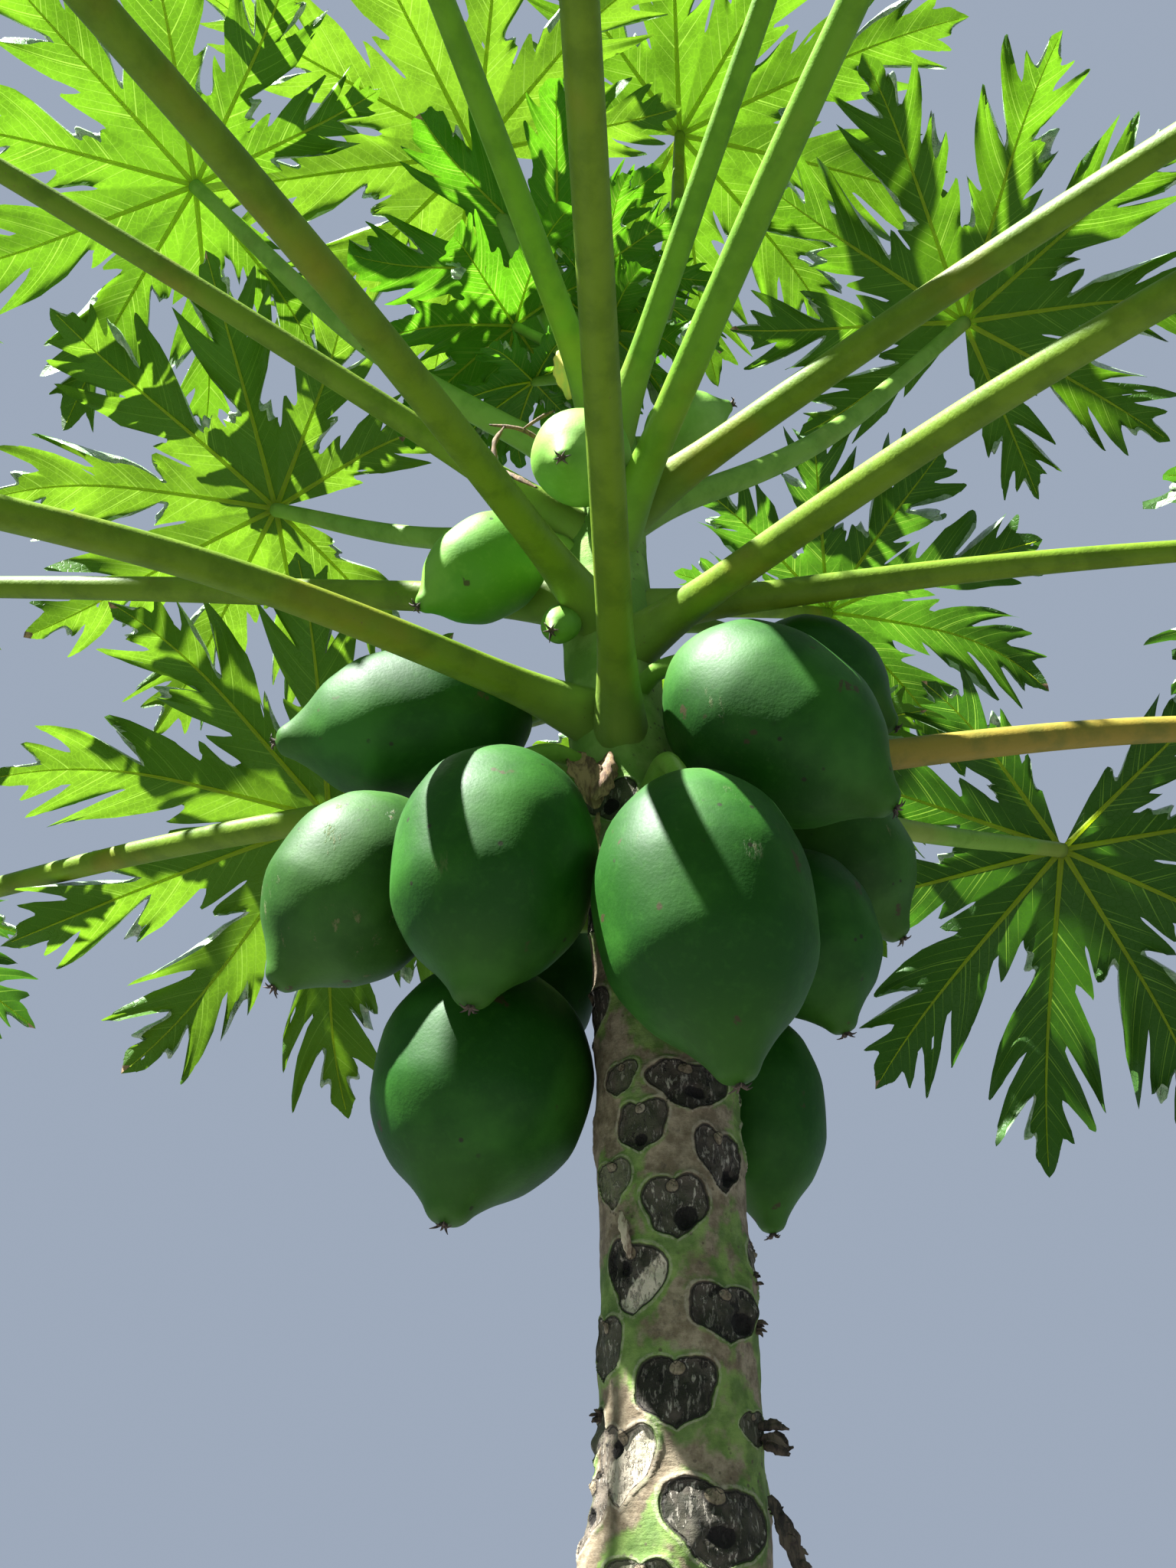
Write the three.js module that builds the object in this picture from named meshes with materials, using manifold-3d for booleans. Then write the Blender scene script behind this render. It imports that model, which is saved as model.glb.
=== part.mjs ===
// A fruiting pawpaw tree: one bare trunk, a spiral of long-stalked palmate leaves and a cluster of green fruit.
// Millimetres, +Z up. The origin is the middle of the flat cut under the trunk, at ground level.
// The tree is seen from its -Y side, with +X to the right.
import * as THREE from "three";
import { mergeVertices } from "three/addons/utils/BufferGeometryUtils.js";
import Module from "manifold-3d";

const wasm = await Module();
wasm.setup();

// Driving dimensions

const GAP = 0.3;
// The share of the trunk's radius at which a stalk starts, and the steepness from which a limb counts as upright.
const BURIED = 0.35;
const UPRIGHT = 0.8;

// The trunk's centre line and radius at each height: it flares at the ground and leans to -X under the crown.
const TRUNK = [
  { z: 0, x: 0, r: 88 },
  { z: 70, x: 0, r: 76 },
  { z: 200, x: 0, r: 68 },
  { z: 600, x: 0, r: 64 },
  { z: 1100, x: 0, r: 62 },
  { z: 1500, x: 0, r: 58 },
  { z: 1720, x: 0, r: 55 },
  { z: 1860, x: -17, r: 49 },
  { z: 2000, x: -39, r: 42 },
  { z: 2160, x: -46, r: 38 },
  { z: 2310, x: -46, r: 31 },
  { z: 2385, x: -45, r: 17 },
];
const TRUNK_SIDES = 18;

// Leaf stalks, thick at the foot, with a neck from where they taper slowly
const PETIOLE_SIDES = 7;
const PETIOLE_RINGS = [0, 0.07, 0.18, 0.42, 0.7, 1];
const PETIOLE_FOOT = 19;
const PETIOLE_NECK = 14;
const PETIOLE_END = 9;
const NECK_AT = 0.16;

// Leaf blades: the lobes of one flank with their turn from the middle lobe and their reach, and the points of a half
// lobe's outline as shares of the lobe's length
const BLADE_THICK = 5;
const BLADE_FOLD = 0.22;
const LOBES = [
  { turn: 0, reach: 1 },
  { turn: 35, reach: 0.98 },
  { turn: 70, reach: 0.92 },
  { turn: 105, reach: 0.84 },
  { turn: 141, reach: 0.7 },
];
const YOUNG_LOBES = [
  { turn: 0, reach: 1 },
  { turn: 44, reach: 0.94 },
  { turn: 90, reach: 0.84 },
  { turn: 136, reach: 0.66 },
];
const LOBE_RIB = [0.38, 0.68];
const LOBE_NOTCH = { along: 0.66, across: 0.1 };
const LOBE_TOOTH = { along: 0.75, across: 0.2 };
const SINUS = 0.4;
const HEEL_SINUS = 0.36;
const HALF_LOBE = 17;
const HALF_LOBE_TRIANGLES = [[0, 1, 6], [1, 4, 6], [4, 5, 6], [1, 2, 4], [2, 3, 4]];
// How the bend of the lobes varies around the hub
const LOBE_WAVE = 3.7;
const LOBE_SWAY = 0.35;

// Each leaf's foot height on the trunk, the place of its blade's hub, how far its stalk's middle lies beside and over
// a straight line, its stoutness, and how its blade lies: heading from +X, pitch over level, roll, reach, lift, bend.
const LEAVES = [
  { name: "01", foot: 1990, hub: [-590, -540, 1850], bow: [0, 25], stout: 1, blade: [226, -30, 0, 340, 8, 45] },
  { name: "02", foot: 2087, hub: [-385, -800, 2010], bow: [0, 10], stout: 1, blade: [241, -25, -8, 340, 8, 45] },
  { name: "03", foot: 1965, hub: [-80, -860, 2110], bow: [0, 0], stout: 1, blade: [268, -15, -6, 350, 8, 45] },
  { name: "04", foot: 2171, hub: [195, -710, 2310], bow: [0, 5], stout: 1, blade: [282, -10, 8, 340, 8, 45] },
  { name: "05", foot: 2209, hub: [575, -605, 2240], bow: [0, 10], stout: 1, blade: [316, -18, 14, 340, 8, 45] },
  { name: "06", foot: 2060, hub: [440, -685, 1960], bow: [0, 15], stout: 1, blade: [303, -30, 0, 340, 8, 45] },
  { name: "07", foot: 2107, hub: [630, -22, 2186], bow: [0, 5], stout: 0.95, blade: [340, 0, -10, 330, 8, 45] },
  { name: "08", foot: 1936, hub: [960, 158, 2070], bow: [0, 36], stout: 1, blade: [25, -40, 0, 320, 8, 50] },
  { name: "09", foot: 2124, hub: [-905, 172, 2280], bow: [0, 0], stout: 1, blade: [171, -15, 0, 340, 8, 45] },
  { name: "10", foot: 1950, hub: [-920, 448, 2007], bow: [0, 15], stout: 1, blade: [155, -25, 0, 340, 8, 45] },
  { name: "11", foot: 2323, hub: [-250, -620, 2440], bow: [0, 5], stout: 0.9, blade: [248, -5, 0, 320, 8, 40] },
  { name: "12", foot: 2290, hub: [165, -560, 2600], bow: [0, 0], stout: 0.85, blade: [290, 5, 0, 310, 8, 40] },
  { name: "13", foot: 2200, hub: [-417, 259, 2446], bow: [0, -20], stout: 0.9, blade: [193, -1, 39, 335, 10, 35] },
  { name: "14", foot: 2270, hub: [-496, 42, 2723], bow: [0, -45], stout: 0.9, blade: [200, -1, 35, 345, 10, 35] },
  { name: "15", foot: 2352, hub: [-195, 110, 2863], bow: [0, -20], stout: 0.75, blade: [206, 12, 30, 370, 10, 35] },
  { name: "16", foot: 2330, hub: [56, 197, 3013], bow: [20, -50], stout: 0.75, blade: [338, 10, -30, 395, 10, 35] },
  { name: "17", foot: 2215, hub: [366, 153, 2630], bow: [0, -45], stout: 0.9, blade: [283, 34, -19, 330, 10, 35] },
  { name: "18", foot: 1975, hub: [446, 364, 2064], bow: [0, -20], stout: 0.9, blade: [96, -56, 21, 350, 5, 30] },
  { name: "19", foot: 2035, hub: [-339, 348, 2092], bow: [0, 20], stout: 0.9, blade: [175, -20, 51, 360, 5, 30] },
  { name: "20", foot: 2130, hub: [254, 545, 2512], bow: [0, 0], stout: 0.9, blade: [330, 5, -30, 315, 8, 35] },
  { name: "21", foot: 2186, hub: [-900, -385, 2533], bow: [0, 10], stout: 0.85, blade: [203, -12, 0, 320, 8, 45] },
  { name: "22", foot: 2050, hub: [130, 640, 2330], bow: [0, 10], stout: 1, blade: [78, -35, 0, 330, 8, 45] },
];

// A fruit's outline from stalk end to tip: share of the length, share of the half width
const FRUIT_PROFILE = [
  [0.02, 0.26],
  [0.08, 0.54],
  [0.2, 0.84],
  [0.4, 1],
  [0.6, 0.95],
  [0.77, 0.7],
  [0.9, 0.33],
  [0.98, 0.14],
];
const FRUIT_SIDES = 10;
const YOUNG_FRUIT_SIDES = 8;
const STALK_RADIUS = 8;
const STALK_SIDES = 6;
const STALK_RINGS = [0, 0.55, 1];
const STALK_ARCH = 0.6;

// Each fruit's stalk end and tip, its width and the height at which its stalk leaves the trunk.
const FRUITS = [
  { name: "01", top: [8, -134, 1862], tip: [36, -142, 1628], width: 155, foot: 1900 },
  { name: "02", top: [-121, -91, 1904], tip: [-142, -117, 1692], width: 150, foot: 1925 },
  { name: "03", top: [-125, 30, 1775], tip: [-163, -10, 1572], width: 165, foot: 1810 },
  { name: "04", top: [-110, 10, 2010], tip: [-325, 0, 1975], width: 135, foot: 2000 },
  { name: "05", top: [-196, -12, 1902], tip: [-298, -24, 1745], width: 138, foot: 1925 },
  { name: "06", top: [-105, -38, 2165], tip: [-205, -55, 2075], width: 90, foot: 2150 },
  { name: "07", top: [12, -78, 2008], tip: [168, -97, 1858], width: 148, foot: 2000 },
  { name: "08", top: [90, 50, 2115], tip: [212, 60, 2027], width: 110, foot: 2090 },
  { name: "09", top: [116, 84, 1972], tip: [205, 94, 1838], width: 122, foot: 1935 },
  { name: "10", top: [92, 25, 1882], tip: [138, 28, 1728], width: 118, foot: 1885 },
  { name: "11", top: [66, 82, 1770], tip: [80, 92, 1590], width: 108, foot: 1830 },
  { name: "12", top: [-105, 120, 1900], tip: [-130, 150, 1720], width: 125, foot: 1900 },
  { name: "13", top: [-12, 116, 1720], tip: [-14, 134, 1590], width: 82, foot: 1765 },
  { name: "14", top: [14, 112, 1900], tip: [30, 158, 1735], width: 118, foot: 1895 },
];

// Young fruits that are one piece with the trunk.
const YOUNG_FRUITS = [
  { top: [-52, -45, 2252], tip: [-84, -130, 2172], width: 85, foot: 2262 },
  { top: [-8, 0, 2306], tip: [74, -24, 2334], width: 62, foot: 2300 },
  { top: [-84, -40, 2068], tip: [-108, -78, 2030], width: 42, foot: 2075 },
];

// The bud on the trunk's tip and the young leaves around it
const BUD = { foot: 2387, top: 2480, radius: 12, taper: 0.8, rings: [0, 0.5, 1] };
const YOUNG_LEAVES = [
  { hub: [-97, 122, 2683], blade: [181, -1, 36, 230, 5, 25] },
  { hub: [-44, 29, 2584], blade: [8, -5, -31, 120, 0, 20] },
];
const YOUNG_STOUT = 0.55;

// Materials

const material = (color, roughness) => new THREE.MeshStandardMaterial({ color, roughness, metalness: 0 });
const BARK = material(0x8b8468, 0.85);
const STALK = material(0x7f9a3c, 0.45);
const LEAF = material(0x4f9a2a, 0.5);
const FRUIT = material(0x2f6b34, 0.4);

// Solids

// A closed geometry as a manifold-3d solid, turned right way out.
function solidOf(geometry) {
  const plain = geometry.index ? geometry.toNonIndexed() : geometry.clone();
  plain.deleteAttribute("normal");
  plain.deleteAttribute("uv");
  const merged = mergeVertices(plain, 1e-3);
  const corners = merged.index.array;
  const whole = [];
  for (let i = 0; i < corners.length; i += 3) {
    const [a, b, c] = corners.subarray(i, i + 3);
    if (a !== b && b !== c && c !== a) whole.push(a, b, c);
  }
  const mesh = new wasm.Mesh({
    numProp: 3,
    vertProperties: merged.attributes.position.array,
    triVerts: new Uint32Array(whole),
  });
  return new wasm.Manifold(mesh);
}

// A solid as a named mesh.
function meshOf(name, solid, look) {
  const made = solid.getMesh();
  const geometry = new THREE.BufferGeometry();
  geometry.setAttribute("position", new THREE.BufferAttribute(made.vertProperties, 3));
  geometry.setIndex(new THREE.BufferAttribute(made.triVerts, 1));
  geometry.computeVertexNormals();
  const mesh = new THREE.Mesh(geometry, look);
  mesh.name = name;
  return mesh;
}

// What is left of a solid outside the others, which come grown by the gap.
function clearOf(solid, blockers) {
  return blockers.reduce((left, blocker) => left.subtract(blocker), solid);
}

// A round limb along a curve, with its rings at the given shares of the length.
function limb(curve, rings, sides, radiusAt) {
  const geometry = new THREE.CylinderGeometry(1, 1, rings.length - 1, sides, rings.length - 1);
  const place = geometry.attributes.position;
  const start = curve.getTangentAt(0);
  const reference = Math.abs(start.z) > UPRIGHT ? new THREE.Vector3(0, 1, 0) : new THREE.Vector3(0, 0, 1);
  for (let i = 0; i < place.count; i += 1) {
    const share = rings[Math.round(place.getY(i) + (rings.length - 1) / 2)];
    const along = curve.getTangentAt(share);
    const side = new THREE.Vector3().crossVectors(reference, along).normalize();
    const over = new THREE.Vector3().crossVectors(along, side);
    const radius = radiusAt(share);
    const point = curve.getPointAt(share);
    point.addScaledVector(over, place.getX(i) * radius);
    point.addScaledVector(side, place.getZ(i) * radius);
    place.setXYZ(i, point.x, point.y, point.z);
  }
  return solidOf(geometry);
}

// Trunk

// The trunk's middle and radius at a height, straight between the rows of TRUNK.
function trunkAt(z) {
  const above = TRUNK.findIndex((row) => row.z >= z);
  const high = TRUNK[Math.max(above, 1)];
  const low = TRUNK[Math.max(above, 1) - 1];
  const share = (z - low.z) / (high.z - low.z);
  return {
    middle: new THREE.Vector3(THREE.MathUtils.lerp(low.x, high.x, share), 0, z),
    radius: THREE.MathUtils.lerp(low.r, high.r, share),
  };
}

// The bare trunk, as a cylinder whose rings are moved to the rows of TRUNK.
function bareTrunk(grow) {
  const geometry = new THREE.CylinderGeometry(1, 1, TRUNK.length - 1, TRUNK_SIDES, TRUNK.length - 1);
  const place = geometry.attributes.position;
  for (let i = 0; i < place.count; i += 1) {
    const row = TRUNK[Math.round(place.getY(i) + (TRUNK.length - 1) / 2)];
    const end = row === TRUNK[TRUNK.length - 1] ? grow : 0;
    const radius = row.r + grow;
    place.setXYZ(i, row.x + place.getX(i) * radius, -place.getZ(i) * radius, row.z + end);
  }
  return solidOf(geometry);
}

// Leaf stalks

// The line of a leaf stalk, from inside the trunk to under the hub of its blade, where the rim of the stalk's end
// just clears the rising underside.
function petioleCurve(leaf) {
  const { up } = bladeFrame(leaf.blade);
  const hub = new THREE.Vector3(...leaf.hub);
  const { middle, radius } = trunkAt(leaf.foot);
  const outward = hub.clone().sub(middle).setZ(0).normalize();
  const foot = middle.addScaledVector(outward, radius * BURIED);
  const mid = foot.clone().lerp(hub, 0.5);
  mid.x += leaf.bow[0];
  mid.z += leaf.bow[1];
  const lineTo = (end) => new THREE.CatmullRomCurve3([foot, mid, end]);
  const lean = lineTo(hub).getTangentAt(1).angleTo(up);
  const rise = Math.tan(THREE.MathUtils.degToRad(leaf.blade[4]));
  const rim = PETIOLE_END * leaf.stout * Math.max(0, Math.sin(lean) - rise * Math.cos(lean));
  return lineTo(hub.addScaledVector(up, -(BLADE_THICK / 2 + GAP + rim)));
}

// A leaf stalk's radius at a share of its length: thick at the foot, a neck, then a slow taper.
function petioleRadius(share) {
  if (share < NECK_AT) return THREE.MathUtils.lerp(PETIOLE_FOOT, PETIOLE_NECK, Math.sqrt(share / NECK_AT));
  return THREE.MathUtils.lerp(PETIOLE_NECK, PETIOLE_END, (share - NECK_AT) / (1 - NECK_AT));
}

function petiole(leaf, grow) {
  const radiusAt = (share) => petioleRadius(share) * leaf.stout + grow;
  return limb(petioleCurve(leaf), PETIOLE_RINGS, PETIOLE_SIDES, radiusAt);
}

// Leaf blades

// A flat point at a turn from the middle lobe, so far along that ray and so far across it.
function flatPoint(turn, along, across = 0) {
  const a = THREE.MathUtils.degToRad(turn);
  return new THREE.Vector2(
    along * Math.cos(a) - across * Math.sin(a),
    along * Math.sin(a) + across * Math.cos(a),
  );
}

// The sinus after each lobe, where it parts from the next one, or the heel after the last.
function sinuses(lobes, reach) {
  return lobes.map((lobe, index) => {
    const next = lobes[index + 1];
    if (!next) return flatPoint(lobe.turn + HALF_LOBE, HEEL_SINUS * lobe.reach * reach);
    return flatPoint((lobe.turn + next.turn) / 2, SINUS * reach * (lobe.reach + next.reach) / 2);
  });
}

// A half lobe's flat outline: out along its rib to the tip, and back by notch and tooth to its sinus.
function halfLobe(lobe, side, sinus, reach) {
  const length = lobe.reach * reach;
  const at = (share, across) => flatPoint(lobe.turn, share * length, side * across * length);
  return [
    new THREE.Vector2(0, 0),
    ...LOBE_RIB.map((share) => at(share, 0)),
    at(1, 0),
    at(LOBE_NOTCH.along, LOBE_NOTCH.across),
    at(LOBE_TOOTH.along, LOBE_TOOTH.across),
    sinus,
  ];
}

// Every half lobe of a blade, those of one flank and their mirror images.
function halfLobes(lobes, reach) {
  const parts = sinuses(lobes, reach);
  const flank = lobes.flatMap((lobe, index) => {
    const outer = halfLobe(lobe, 1, parts[index], reach);
    return index ? [halfLobe(lobe, -1, parts[index - 1], reach), outer] : [outer];
  });
  const mirrored = flank.map((half) => half.map((point) => new THREE.Vector2(point.x, 0 - point.y)));
  return [...flank, ...mirrored];
}

// How far a flat point lies from the nearest rib.
function offRib(point, lobes) {
  const turn = THREE.MathUtils.radToDeg(Math.abs(Math.atan2(point.y, point.x)));
  const off = Math.min(...lobes.map((lobe) => Math.abs(lobe.turn - turn)));
  return point.length() * Math.sin(THREE.MathUtils.degToRad(off));
}

// A blade's frame from its heading, pitch and roll in degrees.
function bladeFrame([heading, pitch, roll]) {
  const h = THREE.MathUtils.degToRad(heading);
  const p = THREE.MathUtils.degToRad(pitch);
  const q = THREE.MathUtils.degToRad(roll);
  const forward = new THREE.Vector3(Math.cos(p) * Math.cos(h), Math.cos(p) * Math.sin(h), Math.sin(p));
  const level = new THREE.Vector3(-Math.sin(h), Math.cos(h), 0);
  const over = new THREE.Vector3().crossVectors(forward, level);
  const side = level.clone().multiplyScalar(Math.cos(q)).addScaledVector(over, Math.sin(q));
  return { forward, side, up: new THREE.Vector3().crossVectors(forward, side) };
}

// Where a flat point of a blade hangs: each ray from the hub starts with the lift and bends down with its length.
function hang(leaf, lobes, point, offset) {
  const [, , , reach, lift, bend] = leaf.blade;
  const { forward, side, up } = bladeFrame(leaf.blade);
  const distance = point.length();
  const angle = Math.atan2(point.y, point.x);
  const sway = 1 + LOBE_SWAY * Math.sin(LOBE_WAVE * angle + leaf.hub[0]);
  const first = THREE.MathUtils.degToRad(lift);
  const curl = THREE.MathUtils.degToRad(bend * sway) / reach;
  const last = first - curl * distance;
  const out = (Math.sin(first) - Math.sin(last)) / curl;
  const rise = (Math.cos(last) - Math.cos(first)) / curl + BLADE_FOLD * offRib(point, lobes);
  const ray = forward.clone().multiplyScalar(Math.cos(angle)).addScaledVector(side, Math.sin(angle));
  return new THREE.Vector3(...leaf.hub)
    .addScaledVector(ray, out - offset * Math.sin(last))
    .addScaledVector(up, rise + offset * Math.cos(last));
}

// A blade: the half lobes cut into triangles, as an upper and a lower skin closed by a rim.
function blade(leaf, lobes = LOBES) {
  const flat = [];
  const indexOf = new Map();
  const numberOf = (point) => {
    const key = `${point.x.toFixed(3)} ${point.y.toFixed(3)}`;
    if (!indexOf.has(key)) {
      indexOf.set(key, flat.length);
      flat.push(point);
    }
    return indexOf.get(key);
  };
  const triangles = [];
  for (const half of halfLobes(lobes, leaf.blade[3])) {
    for (const corners of HALF_LOBE_TRIANGLES) {
      const points = corners.map((corner) => half[corner]);
      const numbers = points.map(numberOf);
      triangles.push(THREE.ShapeUtils.area(points) > 0 ? numbers : numbers.reverse());
    }
  }
  const edges = new Set(triangles.flatMap(([a, b, c]) => [`${a} ${b}`, `${b} ${c}`, `${c} ${a}`]));
  const upper = flat.map((point) => hang(leaf, lobes, point, BLADE_THICK / 2));
  const lower = flat.map((point) => hang(leaf, lobes, point, -BLADE_THICK / 2));
  const skin = [];
  for (const [a, b, c] of triangles) {
    skin.push(upper[a], upper[b], upper[c], lower[c], lower[b], lower[a]);
    for (const [from, to] of [[a, b], [b, c], [c, a]]) {
      const inner = edges.has(`${to} ${from}`);
      if (!inner) skin.push(lower[from], lower[to], upper[to], lower[from], upper[to], upper[from]);
    }
  }
  return solidOf(new THREE.BufferGeometry().setFromPoints(skin));
}

// Fruits

// A fruit's body: its profile turned on the line from stalk end to tip.
function fruitBody(fruit, grow, sides) {
  const top = new THREE.Vector3(...fruit.top);
  const tip = new THREE.Vector3(...fruit.tip);
  const axis = tip.clone().sub(top).normalize();
  const length = top.distanceTo(tip) + 2 * grow;
  const radius = fruit.width / 2 + grow;
  const profile = FRUIT_PROFILE.map(([share, girth]) => new THREE.Vector2(girth * radius, share * length));
  const points = [new THREE.Vector2(0, 0), ...profile, new THREE.Vector2(0, length)];
  const geometry = new THREE.LatheGeometry(points, sides);
  geometry.applyQuaternion(new THREE.Quaternion().setFromUnitVectors(new THREE.Vector3(0, 1, 0), axis));
  top.addScaledVector(axis, -grow);
  geometry.translate(top.x, top.y, top.z);
  return solidOf(geometry);
}

// A fruit's stalk, from inside the trunk over an arc into the fruit's stalk end.
function fruitStalk(fruit, grow) {
  const top = new THREE.Vector3(...fruit.top);
  const axis = new THREE.Vector3(...fruit.tip).sub(top).normalize();
  const { middle, radius } = trunkAt(fruit.foot);
  const outward = top.clone().sub(middle).setZ(0).normalize();
  const foot = middle.clone().addScaledVector(outward, radius * BURIED);
  const end = top.clone().addScaledVector(axis, STALK_RADIUS);
  const over = foot.clone().lerp(top, STALK_ARCH);
  over.z = Math.max(foot.z, top.z) + STALK_RADIUS / 2;
  const curve = new THREE.CatmullRomCurve3([foot, over, end]);
  return limb(curve, STALK_RINGS, STALK_SIDES, () => STALK_RADIUS + grow);
}

function fruit(item, grow, sides = FRUIT_SIDES) {
  return fruitBody(item, grow, sides).add(fruitStalk(item, grow));
}

// The bare trunk with its young fruits.
function trunk(grow) {
  return YOUNG_FRUITS.reduce((joined, item) => joined.add(fruit(item, grow, YOUNG_FRUIT_SIDES)), bareTrunk(grow));
}

// Bud and young leaves, joined over the trunk's tip.
function youngCrown() {
  const bottom = new THREE.Vector3(trunkAt(BUD.foot).middle.x, 0, BUD.foot);
  const budCurve = new THREE.LineCurve3(bottom, bottom.clone().setZ(BUD.top));
  const bud = limb(budCurve, BUD.rings, PETIOLE_SIDES, (share) => BUD.radius * (1 - BUD.taper * share));
  return YOUNG_LEAVES.reduce((joined, leaf) => {
    const hub = new THREE.Vector3(...leaf.hub);
    const stalk = new THREE.LineCurve3(bottom.clone().setZ(BUD.foot + BUD.radius), hub);
    const radiusAt = (share) => petioleRadius(NECK_AT + share * (1 - NECK_AT)) * YOUNG_STOUT;
    return joined.add(limb(stalk, [0, 1], STALK_SIDES, radiusAt)).add(blade(leaf, YOUNG_LOBES));
  }, bud);
}

// The tree

function pawpawTree() {
  const tree = new THREE.Group();
  tree.name = "pawpaw_tree";

  tree.add(meshOf("trunk", trunk(0), BARK));

  const taken = [trunk(GAP)];
  for (const leaf of LEAVES) {
    tree.add(meshOf(`petiole_${leaf.name}`, clearOf(petiole(leaf, 0), taken), STALK));
    taken.push(petiole(leaf, GAP));
  }
  for (const item of FRUITS) {
    tree.add(meshOf(`fruit_${item.name}`, clearOf(fruit(item, 0), taken), FRUIT));
    taken.push(fruit(item, GAP));
  }
  for (const leaf of LEAVES) {
    tree.add(meshOf(`leaf_${leaf.name}`, clearOf(blade(leaf), taken), LEAF));
  }
  tree.add(meshOf("young_leaves", clearOf(youngCrown(), taken), LEAF));
  return tree;
}

export default pawpawTree();
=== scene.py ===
# Looks for a fruiting pawpaw tree: scarred bark, leaf stalks, ribbed leaves, green fruit and dried scraps.
# Lengths are in millimetres, as in the part's source, up to the point where a mesh is made in metres.
from math import acos, atan2, ceil, cos, hypot, pi, radians, sin, sqrt, tan

import bmesh
import bpy
import numpy as np
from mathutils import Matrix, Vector, noise


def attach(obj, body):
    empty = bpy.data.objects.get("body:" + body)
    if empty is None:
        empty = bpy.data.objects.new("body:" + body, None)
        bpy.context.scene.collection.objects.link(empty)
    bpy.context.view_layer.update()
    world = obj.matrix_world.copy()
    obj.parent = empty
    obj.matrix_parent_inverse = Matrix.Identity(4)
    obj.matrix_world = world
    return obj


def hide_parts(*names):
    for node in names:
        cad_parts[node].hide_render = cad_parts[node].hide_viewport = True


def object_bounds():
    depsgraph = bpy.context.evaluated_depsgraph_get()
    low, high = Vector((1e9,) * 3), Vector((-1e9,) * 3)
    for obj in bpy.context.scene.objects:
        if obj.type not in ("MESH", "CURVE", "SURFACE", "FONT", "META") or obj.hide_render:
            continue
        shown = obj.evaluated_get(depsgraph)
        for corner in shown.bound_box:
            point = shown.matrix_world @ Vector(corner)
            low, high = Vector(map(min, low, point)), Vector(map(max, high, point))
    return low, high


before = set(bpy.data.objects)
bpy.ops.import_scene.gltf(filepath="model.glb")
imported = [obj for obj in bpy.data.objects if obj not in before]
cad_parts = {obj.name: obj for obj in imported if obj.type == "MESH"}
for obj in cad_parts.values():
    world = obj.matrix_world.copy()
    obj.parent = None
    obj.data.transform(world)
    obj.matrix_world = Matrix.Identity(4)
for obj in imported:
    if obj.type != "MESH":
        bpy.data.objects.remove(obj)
cad_box = [list(corner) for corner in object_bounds()]

MM = 0.001
SEED = 41
YOUNG_SEED = 101

# Driving dimensions, as in the part's source

# The gap under a blade, how deep in the trunk's radius a foot lies, and from which rise a line is upright
GAP = 0.3
BURIED = 0.35
UPRIGHT = 0.8

# Height, centre line and radius of the trunk
TRUNK = np.array([
    (0, 0, 88), (70, 0, 76), (200, 0, 68), (600, 0, 64), (1100, 0, 62), (1500, 0, 58),
    (1720, 0, 55), (1860, -17, 49), (2000, -39, 42), (2160, -46, 38), (2310, -46, 31), (2385, -45, 17),
], float)

# The radius of a leaf stalk at its foot, neck and end, and where its neck is
PETIOLE_FOOT = 19
PETIOLE_NECK = 14
PETIOLE_END = 9
NECK_AT = 0.16
# The height of the ridges along a stalk, and how much its foot widens
STALK_RIDGES = 0.012
FOOT_CLASP = 0.85

# A blade's thickness and fold, its lobes as angle and length, how far they are joined, half the angle of the
# last one, and the waves in how much they bend
BLADE_THICK = 5
BLADE_FOLD = 0.22
LOBES = [(0, 1), (35, 0.98), (70, 0.92), (105, 0.84), (141, 0.7)]
YOUNG_LOBES = [(0, 1), (44, 0.94), (90, 0.84), (136, 0.66)]
SINUS = 0.4
HEEL_SINUS = 0.36
HALF_LOBE = 17
LOBE_WAVE = 3.7
LOBE_SWAY = 0.35

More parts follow.
